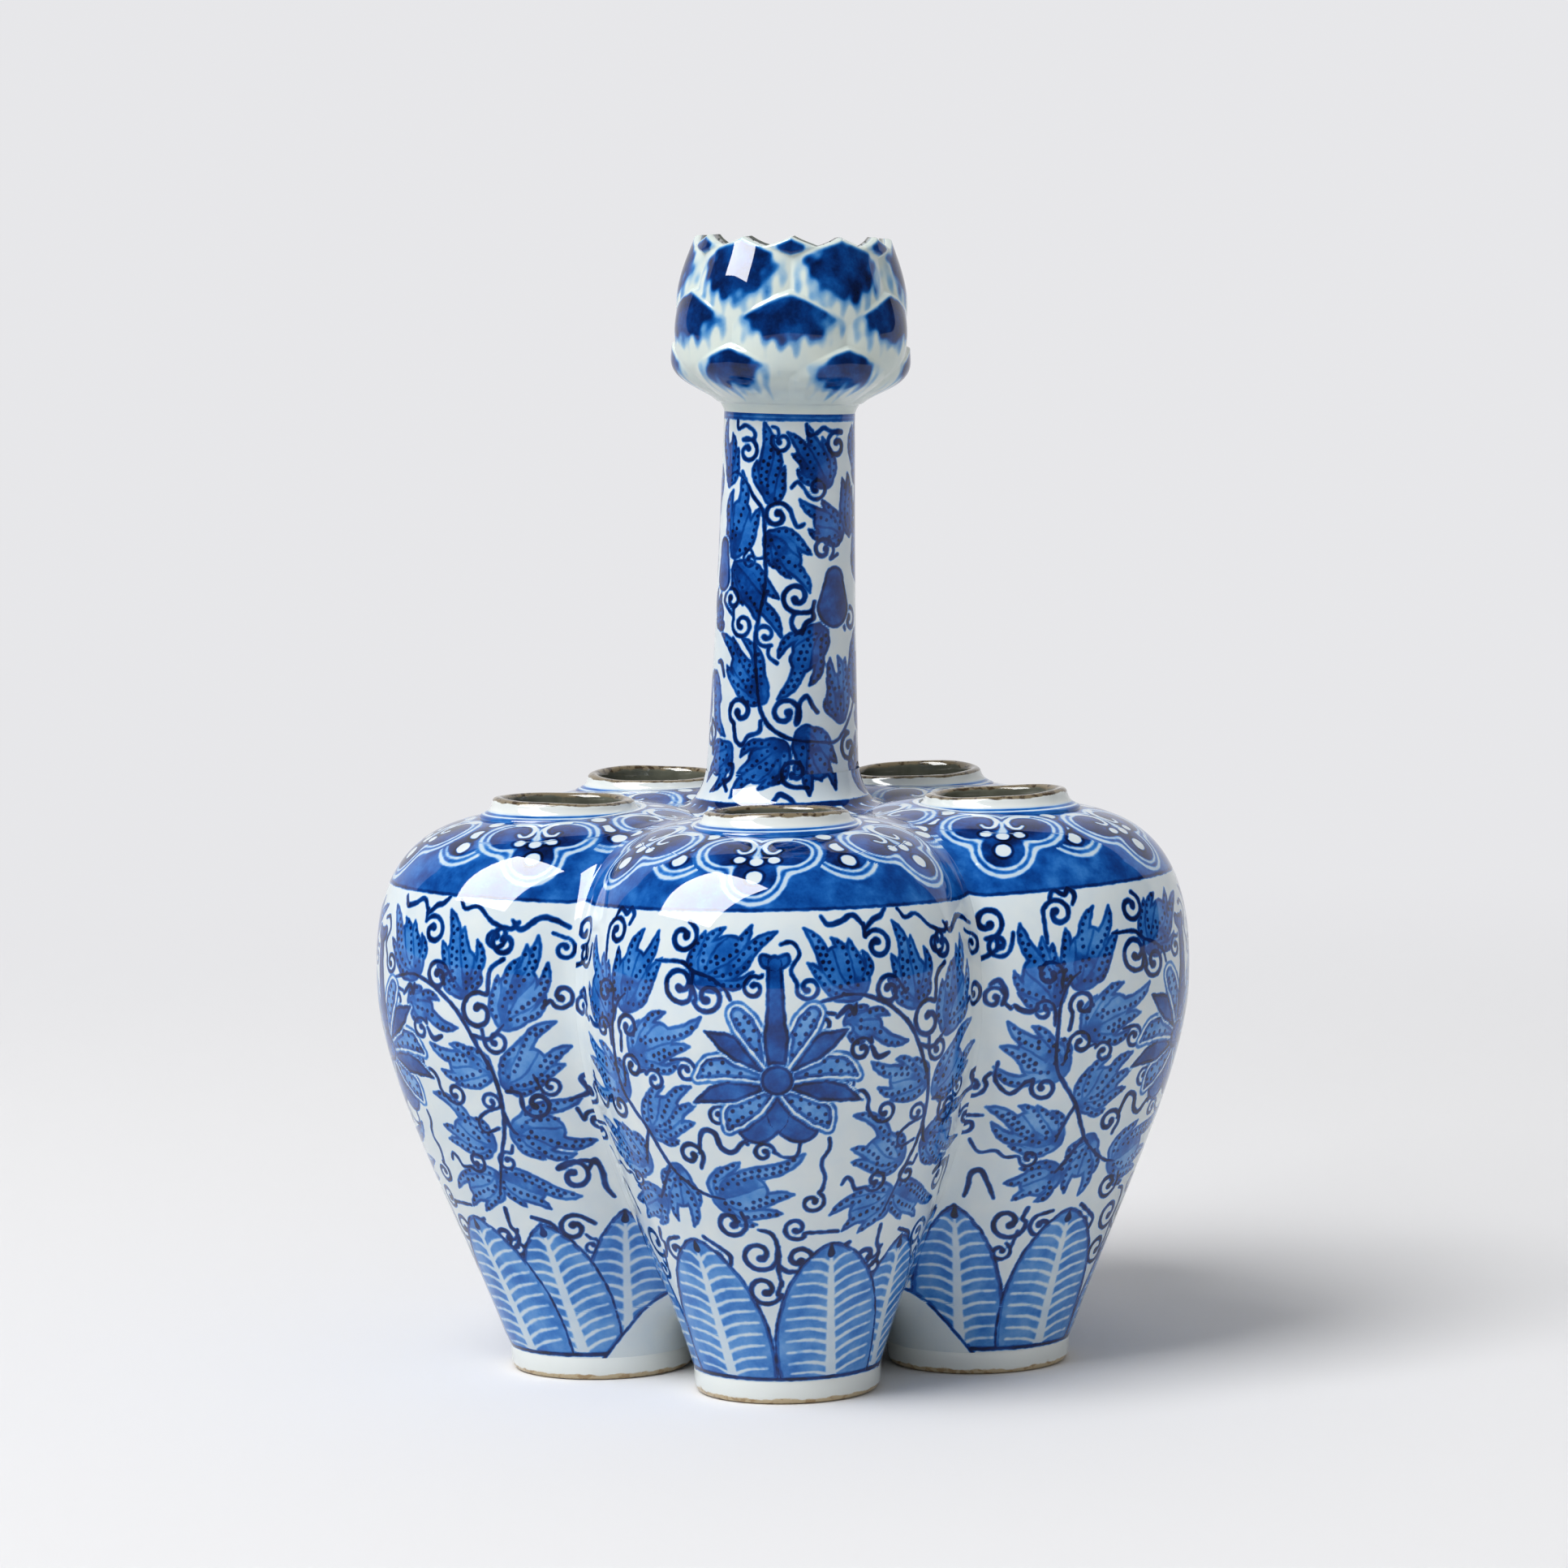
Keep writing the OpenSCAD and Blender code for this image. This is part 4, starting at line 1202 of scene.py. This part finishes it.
def shoulder_height(x, y):
    """The height of the highest shoulder over the ground plan, its valleys filled."""
    heights = []
    for number in range(len(LOBES)):
        angle = FRONT_ANGLE + number * LOBE_STEP
        away = np.hypot(x - MOUTH_CIRCLE_R * math.cos(angle), y - MOUTH_CIRCLE_R * math.sin(angle))
        heights.append(np.interp(-away, -upper_curve[:, 0], upper_curve[:, 1]))
    heights = np.sort(heights, axis=0)
    gap = np.clip(1 - (heights[-1] - heights[-2]) / VALLEY_REACH, 0, 1)
    return heights[-1] + VALLEY_FILL * gap ** 2


flare_r = np.repeat(flare_line[:, :1], FLARE_COLS + 1, 1)
flare_z = np.repeat(flare_line[:, 1:], FLARE_COLS + 1, 1)
flare_x, flare_y = flare_r * np.cos(flare_turn), flare_r * np.sin(flare_turn)
deck_z = np.where(flare_r > FLARE_CORE_R, shoulder_height(flare_x, flare_y), 0) - 0.15
soft = np.clip(1 - np.abs(flare_z - deck_z) / FLARE_BLEND, 0, 1)
dip = np.clip(flare_r - FLARE_DIP_R, 0, 9) * 0.35
flare_top = np.maximum(flare_z, deck_z) + soft ** 2 - dip
lean_shift = (flare_top - NECK_FOOT_Z) * math.tan(NECK_LEAN)
flare_points = np.stack([flare_x + lean_shift, flare_y, flare_top], -1)
flare_step = np.hypot(*np.diff(flare_line, axis=0).T)
flare_climb = flare_line[-1, 1] - np.concatenate([np.cumsum(flare_step[::-1])[::-1], [0]])
flare_paint = Painting((np.broadcast_to(flare_turn, flare_r.shape) - FRONT_ANGLE).ravel(),
                       np.repeat(flare_climb, FLARE_COLS + 1), neck_radius)
paint_neck(flare_paint)
for k in range(FLARE_FLICKS):
    flick = k * 360 / FLARE_FLICKS + dice.uniform(-3, 3)
    top = FLARE_LINE - dice.uniform(0.2, 1.2)
    draw_vine(flare_paint, ((flick, top), (flick + 3, top - 3), (flick + 1, top - 6)), FLICK_WIDTH)
flare_ring = np.abs(flare_paint.climb - FLARE_LINE) - 0.7
flare_paint.line = np.minimum(flare_paint.line, flare_ring)
under_z = np.minimum(flare_top, FLARE_UNDER_Z) - WALL
flare_under = np.stack([flare_x, flare_y, under_z], -1)[::THIN, ::THIN]
flare = turned_piece("painted_flare", flare_points, flare_under, flare_paint, PAINTED)
hand_over(flare, "painted_glaze", "neck_flare")

# %% [markdown]
# ## The moulded lotus
#
# The lotus is a cup with three tiers of petals pressed in relief and the tips of a fourth
# at its rim. A petal is a rule: its place between two creases, its pointed upper edge and
# its swelling give how far the clay stands out. The lowest tier whose edge lies above a
# point covers it. The painter set one wet blot in the middle of each petal, and it ran down
# into a paler, streaky skirt. Such a blot has no outline to cut, so here the depth of the
# wash itself is worked out at each vertex.

# %% Petal tiers
LOTUS_H, LOTUS_R, LOTUS_RIM_R, LOTUS_WALL, LIP_WALL, PETALS = 37.2, 23.5, 19.0, 2.6, 0.9, 6
LOTUS_COLS, LOTUS_ROWS = 432, 168
BLOT_DEPTH, SKIRT_DEPTH, STREAK_BITE = 2.2, 0.75, 0.065
# Heights of tip, notch and foot; phase; bow of the edge; the blot's half width, top and foot
TIERS = ((37.2, 33.4, 24.0, 0.0, 0.85, (2.9, 0.3, 4.2)),
         (37.0, 33.4, 19.7, 0.5, 0.85, (7.4, 0.4, 12.6)),
         (25.7, 19.2, 8.3, 0.0, 1.25, (8.2, 0.4, 10.0)),
         (14.3, 8.2, 3.0, 0.5, 1.25, (6.0, 0.3, 8.6)))
cup_low, cup_high = LOTUS_H * 0.30, LOTUS_H * 0.58
cup_curve = np.vstack([
    bezier([(NECK_TOP_R, 0), (NECK_TOP_R + 1.4, cup_low * 0.45),
            (LOTUS_R - 0.4, cup_low * 0.40), (LOTUS_R, cup_low)], STEPS),
    bezier([(LOTUS_R, cup_low), (LOTUS_R + 0.5, cup_high), (LOTUS_R + 0.3, cup_high),
            (LOTUS_RIM_R, LOTUS_H)], STEPS)[1:]])


def cup_radius(height):
    return np.interp(height, cup_curve[:, 1], cup_curve[:, 0])


def petal_place(turn, phase):
    """Where a turn lies across its petal: 0 in the middle, -1 and 1 at the creases."""
    k = (turn - FRONT_ANGLE) / (math.tau / PETALS) - phase
    return 2 * (k - np.round(k))


def petal_edge(turn, tip, notch, phase, bow):
    """The height of a tier's upper edge."""
    return tip - (tip - notch) * np.abs(petal_place(turn, phase)) ** bow


def soft_step(value, start, end):
    t = np.clip((value - start) / (end - start), 0, 1)
    return t * t * (3 - 2 * t)


lotus_turn = np.linspace(0, math.tau, LOTUS_COLS + 1) + math.pi / 2
rim_height = np.maximum(*(petal_edge(lotus_turn, tip, notch, phase, bow)
                          for tip, notch, _, phase, bow, _ in TIERS[:2]))
lotus_turn = np.broadcast_to(lotus_turn, (LOTUS_ROWS + 1, LOTUS_COLS + 1))
lotus_height = np.linspace(0, 1, LOTUS_ROWS + 1)[:, None] * rim_height
print("rim of the lotus from", rim_height.min().round(1), "to", rim_height.max().round(1), "mm")

# %% Relief and blots
stand_out, blots = np.zeros(lotus_turn.shape), np.zeros(lotus_turn.shape)
streaks = sum(math.cos(k) * np.sin(lotus_turn * (9 * k + 20) + 2.1 * k) for k in range(1, 6))
for tip, notch, foot, phase, bow, (blot_wide, blot_top, blot_foot) in TIERS:
    place = petal_place(lotus_turn, phase)
    edge = petal_edge(lotus_turn, tip, notch, phase, bow)
    rise = np.clip((lotus_height - foot) / (edge - foot), 0, 1)
    swell = 0.25 + 1.75 * (1 - np.abs(place) ** 2.2) * (0.3 + 0.7 * np.sin(math.pi * 0.88 * rise))
    swell = swell + 0.4 * rise ** 6
    cover = soft_step(edge - lotus_height, -0.55, 0.35) * (lotus_height > foot - 1)
    stand_out = stand_out * (1 - cover) + swell * cover
    x = place * cup_radius(lotus_height) * math.pi / PETALS
    half = (blot_foot - blot_top) / 2
    y = (tip - lotus_height - blot_top - half) / half
    wander = 0.10 * np.sin(lotus_turn * 17 + lotus_height * 0.9) + 0.07 * np.sin(
        lotus_turn * 31 - lotus_height * 1.4)
    run = STREAK_BITE * streaks * np.clip(y + 0.3, 0, 1)
    bite = np.hypot(x / blot_wide, y) - 1 + wander - run
    core = soft_step(bite, 0.13, -0.18)
    skirt = soft_step(bite, 0.54 + 0.1 * streaks, -0.05) * soft_step(y, -0.5, 0.5)
    margin = soft_step(edge - lotus_height, 0.2, 1.3)
    depth = BLOT_DEPTH * margin * core + SKIRT_DEPTH * skirt * (1 - core)
    blots = blots * (1 - cover) + cover * depth
lotus_outside = neck_point(lotus_turn, NECK_TOP_Z + lotus_height, cup_radius(lotus_height)
                           + stand_out * np.clip(lotus_height / 3.5, 0, 1))
print("petals stand out", stand_out.max().round(1), "mm at most")

# %% Build the lotus
lotus_paint = Painting(lotus_turn.ravel(), lotus_height.ravel(), cup_radius)
lotus_paint.wash, lotus_paint.shade = -lotus_paint.wash, blots.ravel()
lotus_wall = LOTUS_WALL + (LIP_WALL - LOTUS_WALL) * soft_step(lotus_height, 20, 33)
inner_radius = np.maximum(cup_radius(lotus_height) - lotus_wall, NECK_TOP_R - NECK_WALL)
lotus_inside = neck_point(lotus_turn, NECK_TOP_Z + lotus_height, inner_radius)[::THIN, ::THIN]
lotus = turned_piece("moulded_lotus", lotus_outside, lotus_inside, lotus_paint, LOTUS_GLAZE)
hand_over(lotus, "lotus_glaze", "lotus_cup", "lotus_petals_lower", "lotus_petals_middle",
          "lotus_petals_upper")

# %% [markdown]
# ## Mouth collars and foot rings
#
# Five collars and five foot rings are alike, so each is turned once and *Geometry Nodes*
# sets it round the vase: points on a circle, an instance on each, turned outwards. The
# result is made a plain mesh at the end.

# %% A ring of five in Geometry Nodes
def ring_of_five():
    """A tree that sets a piece round the vase, facing outwards."""
    tree = bpy.data.node_groups.new("ring_of_five", "GeometryNodeTree")
    face = tree.interface
    face.new_socket("Piece", in_out="INPUT", socket_type="NodeSocketGeometry")
    for name, kind in (("Count", "Int"), ("Ring Radius", "Float"), ("First Angle", "Float"),
                       ("Finish", "Material")):
        face.new_socket(name, in_out="INPUT", socket_type="NodeSocket" + kind)
    face.new_socket("Pieces", in_out="OUTPUT", socket_type="NodeSocketGeometry")
    bench = Wire(tree, None)
    given = bench.node("NodeGroupInput")
    piece, count, radius, first, finish = (bench.out(given, k) for k in range(5))
    order = bench.out(bench.node("GeometryNodeInputIndex"))
    angle = order * bench.math("DIVIDE", math.tau, count) + first
    spot = bench.node("ShaderNodeCombineXYZ", X=bench.math("COSINE", angle) * radius,
                      Y=bench.math("SINE", angle) * radius)
    points = bench.node("GeometryNodePoints", Count=count, Position=bench.out(spot))
    spin = bench.node("ShaderNodeCombineXYZ", Z=angle)
    facing = bench.node("FunctionNodeEulerToRotation", Euler=bench.out(spin))
    placed = bench.node("GeometryNodeInstanceOnPoints", Points=bench.out(points),
                        Instance=piece, Rotation=bench.out(facing))
    real = bench.node("GeometryNodeRealizeInstances", Geometry=bench.out(placed))
    dressed = bench.node("GeometryNodeSetMaterial", Geometry=bench.out(real), Material=finish)
    bench.node("NodeGroupOutput", Pieces=bench.out(dressed))
    return tree


RING_COLS = 144
RING_OF_FIVE = ring_of_five()
print("node tree", RING_OF_FIVE.name, "with", len(RING_OF_FIVE.nodes), "nodes")


def turned_ring(name, profile, wobble=0.0, tilt=0.0):
    """A closed profile turned round Z: radius, height, bare clay, inside and cobalt."""
    turn = np.linspace(0, math.tau, RING_COLS, endpoint=False)
    r, z, bare, inside, cobalt = np.array(profile, float).T
    waver = wobble * (np.sin(2 * turn + 1) + 0.6 * np.sin(5 * turn + 2)) + tilt * np.cos(turn)
    points = np.stack([np.outer(np.cos(turn), r), np.outer(np.sin(turn), r),
                       z[None] + np.outer(waver, np.clip(1 - (z.max() - z) / 2.4, 0, 1))], -1)
    k, j = np.meshgrid(np.arange(RING_COLS), np.arange(len(r)), indexing="ij")
    k2, j2 = (k + 1) % RING_COLS, (j + 1) % len(r)
    faces = np.stack([a * len(r) + b for a, b in ((k, j), (k2, j), (k2, j2), (k, j2))], -1)
    mesh = bpy.data.meshes.new(name)
    mesh.from_pydata((points.reshape(-1, 3) * MM).tolist(), [], faces.reshape(-1, 4).tolist())
    mesh.shade_smooth()
    for key, values in (("bare", bare), ("inside", inside), ("cobalt", cobalt)):
        layer = mesh.attributes.new(key, "FLOAT", "POINT")
        layer.data.foreach_set("value", np.tile(values, RING_COLS).astype(np.float32))
    piece = bpy.data.objects.new(name, mesh)
    bpy.context.collection.objects.link(piece)
    return piece


def set_in_ring(piece, ring_radius, finish):
    """Sets a piece in a ring of five and makes the result a plain mesh."""
    modifier = piece.modifiers.new("ring", "NODES")
    modifier.node_group = RING_OF_FIVE
    values = {"Count": len(LOBES), "Ring Radius": ring_radius * MM, "First Angle": FRONT_ANGLE,
              "Finish": finish}
    for item in RING_OF_FIVE.interface.items_tree:
        if item.name in values:
            modifier[item.identifier] = values[item.name]
    graph = bpy.context.evaluated_depsgraph_get()
    mesh = bpy.data.meshes.new_from_object(piece.evaluated_get(graph))
    piece.modifiers.clear()
    piece.data = mesh
    return piece


# %% [markdown]
# ## Collar and foot finishes
#
# The glaze was wiped from the lip and from the standing edge of the foot before firing,
# and the bare clay turned tan and brown there, with specks. Inside the mouths the glaze
# is painted a cloudy dark grey, as painted shade. Each point of a profile says how bare
# it is and whether it lies inside, and noise breaks the borders.

# %% Finishes of lip and foot
BORDER_SCALE, SPECK_SCALE, CLOUD_SCALE = 300.0, 620.0, 150.0
WIPED_ROUGHNESS = 0.14


def wiped_glaze(name, clay, dark, white=GLAZE_WHITE):
    """Glaze that gives way to specked bare clay, and inside to a cloudy grey of painted shade."""
    material, bench, place = new_material(name)
    ragged = read_paint(bench, "bare") + (noise(bench, place, BORDER_SCALE, 5.0) - 0.5) * 1.2
    bare = ragged.step(0.35, 0.6)
    inside = read_paint(bench, "inside")
    specks = noise(bench, place, SPECK_SCALE, 3.0).step(0.5, 0.62)
    clouds = noise(bench, place, CLOUD_SCALE, 4.0).step(0.3, 0.7, 0.7, 1.25)
    # Inner points take a cloudy grey of painted shade instead of the white.
    ground = [(w * (1 - inside) + inside * g * clouds) * (1 - bare)
              + bare * (c * (1 - specks) + d * specks)
              for w, g, c, d in zip(white, INNER_SHADE, clay, dark)]
    water = noise(bench, place, WATER_SCALE, 4.0).step(0.25, 0.78, 0.7, 1.3)
    cobalt = read_paint(bench, "cobalt") * water
    finish_glaze(bench, place, *dyed(cobalt, ground), roughness=WIPED_ROUGHNESS)
    return material


LIP_GLAZE = wiped_glaze("wiped_lip_glaze", (0.20, 0.16, 0.10), (0.055, 0.035, 0.018))
FOOT_GLAZE = wiped_glaze("wiped_foot_glaze", (0.50, 0.40, 0.25), (0.36, 0.25, 0.13))
print("wiped finishes:", LIP_GLAZE.name, FOOT_GLAZE.name)

# %% Collars and feet: radius, height, bare, inside, cobalt
COLLAR_PROFILE = (
    (17.8, 118.1, 0, 0, 1.4), (17.3, 118.36, 0, 0, 1.4), (17.05, 118.48, 0, 0, 0.1),
    (16.75, 118.62, 0, 0, 0.1), (16.55, 118.73, 0, 0, 1.3), (16.2, 118.92, 0, 0, 1.3),
    (15.95, 119.1, 0, 0, 0.1), (15.6, 119.45, 0, 0, 0), (15.25, 120.0, 0, 0, 0),
    (15.05, 120.5, 0.1, 0, 0), (14.9, 120.95, 0.6, 0, 0), (14.55, 121.25, 1, 0, 0),
    (14.1, 121.4, 1, 0, 0), (13.5, 121.4, 1, 0.3, 0), (13.0, 121.2, 0.9, 0.8, 0),
    (12.6, 120.8, 0.5, 1, 0), (12.5, 120.2, 0.2, 1, 0), (12.4, 118.0, 0.1, 1, 0),
    (12.4, 114.2, 0, 1, 0), (16.4, 114.2, 0, 1, 0), (17.4, 116.5, 0, 0, 0))
FOOT_PROFILE = (
    (14.0, 0.4, 1, 0, 0), (14.5, 0.0, 1, 0, 0), (18.0, 0.0, 1, 0, 0), (18.7, 0.25, 1, 0, 0),
    (19.05, 0.7, 0.85, 0, 0), (19.25, 1.5, 0.25, 0, 0), (19.4, 3.0, 0, 0, 0),
    (19.45, 4.6, 0, 0, 0), (19.3, 5.2, 0, 0, 0), (14.0, 5.1, 0, 0, 0))
collars = set_in_ring(turned_ring("mouth_collars", COLLAR_PROFILE[::-1], wobble=0.12, tilt=0.5),
                      MOUTH_CIRCLE_R, LIP_GLAZE)
hand_over(collars, "white_glaze", *(f"mouth_collar_{lobe}" for lobe in LOBES))
feet = set_in_ring(turned_ring("foot_rings", FOOT_PROFILE[::-1]), FOOT_CIRCLE_R, FOOT_GLAZE)
hand_over(feet, "bare_clay", *(f"foot_ring_{lobe}" for lobe in LOBES))

# %% [markdown]
# ## Inside
#
# The discs over the feet and the bottle inside the ring of lobes keep their solids. Their
# glaze is given a dark grey, painted shade of the vase's inside.

# %% Inner glaze
# The dark grey of these hidden parts is painted shade of the vase's inside.
INNER_SHADE_GLAZE = wiped_glaze("thin_inner_glaze", (0.3, 0.3, 0.3), (0.2, 0.2, 0.2), (0.34, 0.355, 0.32))
kept = ["bottle_wall", "bottle_floor"] + [f"base_disc_{lobe}" for lobe in LOBES]
for name in kept:
    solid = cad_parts[name].data
    solid.materials.clear()
    solid.materials.append(INNER_SHADE_GLAZE)
print("kept solids:", len(kept))

# %% [markdown]
# ## Sweep
#
# The vase stands on a pale sweep, a sheet of paper that curves up behind it, so that no
# edge shows. More light on it would also bleach the glaze. So away from the vase its
# material shows an even tone of its own to the camera and in reflections, and round the
# vase it is plain matt paper that keeps the shadow.

# %% Sweep
SWEEP_FRONT, SWEEP_BEND, SWEEP_RADIUS, SWEEP_TOP, SWEEP_HALF = -3.0, 1.3, 0.8, 3.0, 4.0
SWEEP_TONE, SWEEP_PAPER = (0.80, 0.80, 0.82, 1), (0.73, 0.73, 0.74, 1)
SHADOW_NEAR, SHADOW_FAR = 0.35, 0.95
bend = np.linspace(0, math.pi / 2, 25)
sweep_line = np.vstack([
    [(SWEEP_FRONT, 0)], np.stack([SWEEP_BEND + SWEEP_RADIUS * np.sin(bend),
                                  SWEEP_RADIUS * (1 - np.cos(bend))], 1),
    [(SWEEP_BEND + SWEEP_RADIUS, SWEEP_TOP)]])
sweep_points = [(side, y, z) for y, z in sweep_line.tolist() for side in (-SWEEP_HALF, SWEEP_HALF)]
sweep_faces = [(k, k + 1, k + 3, k + 2) for k in range(0, len(sweep_points) - 2, 2)]
sweep_mesh = bpy.data.meshes.new("sweep")
sweep_mesh.from_pydata(sweep_points, [], sweep_faces)
sweep_mesh.shade_smooth()
sweep = bpy.data.objects.new("sweep", sweep_mesh)
bpy.context.collection.objects.link(sweep)

paper, bench, place = new_material("pale_sweep")
apart = bench.node("ShaderNodeSeparateXYZ", Vector=place)
x, y = bench.out(apart, "X"), bench.out(apart, "Y")
away = bench.math("SQRT", x * x + y * y)
ray = bench.node("ShaderNodeLightPath")
seen = bench.out(ray, "Is Camera Ray").at_least(bench.out(ray, "Is Glossy Ray"))
seen = seen.at_least(bench.out(ray, "Is Transmission Ray"))
matt = bench.node("ShaderNodeBsdfDiffuse", Color=SWEEP_PAPER)
even = bench.node("ShaderNodeEmission", Color=SWEEP_TONE)
mixed = bench.node("ShaderNodeMixShader", Fac=seen * away.step(SHADOW_NEAR, SHADOW_FAR),
                   Shader=bench.out(matt), Shader_001=bench.out(even))
bench.node("ShaderNodeOutputMaterial", Surface=bench.out(mixed))
sweep_mesh.materials.append(paper)
print("sweep", 2 * SWEEP_HALF, "m wide and", SWEEP_TOP, "m high")

# %% [markdown]
# ## Light
#
# A soft box high on the left lights the vase and leaves its square in the glaze of the
# shoulders. It is made of two lamps: one lights the paint and isn't mirrored, and a nearer
# one, turned further to the left, is only mirrored, so the square's place and the light can
# be set apart. The room is mirrored dimmer than it lights. A lobe's lower half then mirrors
# the pale sweep and its upper half the dim room, and that gives the blue its two depths.

# %% Light
SOFTBOX_REACH, SOFTBOX_TOWARDS = 3.6, np.array((-0.46, -0.40, 0.79))
SOFTBOX_SIZE, SOFTBOX_WATTS = (2.2, 2.2), 132.0
GLINT_REACH, GLINT_TOWARDS = 3.3, np.array((-0.54, -0.30, 0.79))
GLINT_SIZE, GLINT_WATTS = (2.2, 2.9), 425.0
LAMP_AIM_Z = 0.11
ROOM_LIGHT, ROOM_MIRRORED = 0.42, 0.085


def square_lamp(name, reach, towards, size, watts):
    """A lamp that looks back at the vase from a direction."""
    towards = towards / np.linalg.norm(towards)
    lamp = bpy.data.objects.new(name, bpy.data.lights.new(name, "AREA"))
    lamp.data.shape, lamp.data.energy = "RECTANGLE", watts
    lamp.data.size, lamp.data.size_y = size
    lamp.location = towards * reach + np.array((0, 0, LAMP_AIM_Z))
    lamp.rotation_euler = (math.acos(towards[2]), 0, math.atan2(towards[0], -towards[1]))
    bpy.context.collection.objects.link(lamp)
    print(name, "at", [round(c, 2) for c in lamp.location])
    return lamp


softbox = square_lamp("softbox", SOFTBOX_REACH, SOFTBOX_TOWARDS, SOFTBOX_SIZE, SOFTBOX_WATTS)
softbox.visible_glossy = False
glint = square_lamp("softbox_glint", GLINT_REACH, GLINT_TOWARDS, GLINT_SIZE, GLINT_WATTS)
glint.visible_diffuse = False

world = bpy.data.worlds.new("studio")
bpy.context.scene.world = world
world.use_nodes = True
world.node_tree.nodes.clear()
bench = Wire(world.node_tree, None)
ray = bench.node("ShaderNodeLightPath")
room = bench.node("ShaderNodeBackground", Color=(1, 1, 1, 1), Strength=ROOM_LIGHT)
mirrored_room = bench.node("ShaderNodeBackground", Color=(1, 1, 1, 1), Strength=ROOM_MIRRORED)
around = bench.node("ShaderNodeMixShader", Fac=bench.out(ray, "Is Glossy Ray"),
                    Shader=bench.out(room), Shader_001=bench.out(mirrored_room))
bench.node("ShaderNodeOutputWorld", Surface=bench.out(around))
bpy.context.scene.view_settings.view_transform = "Standard"
print("studio lit")
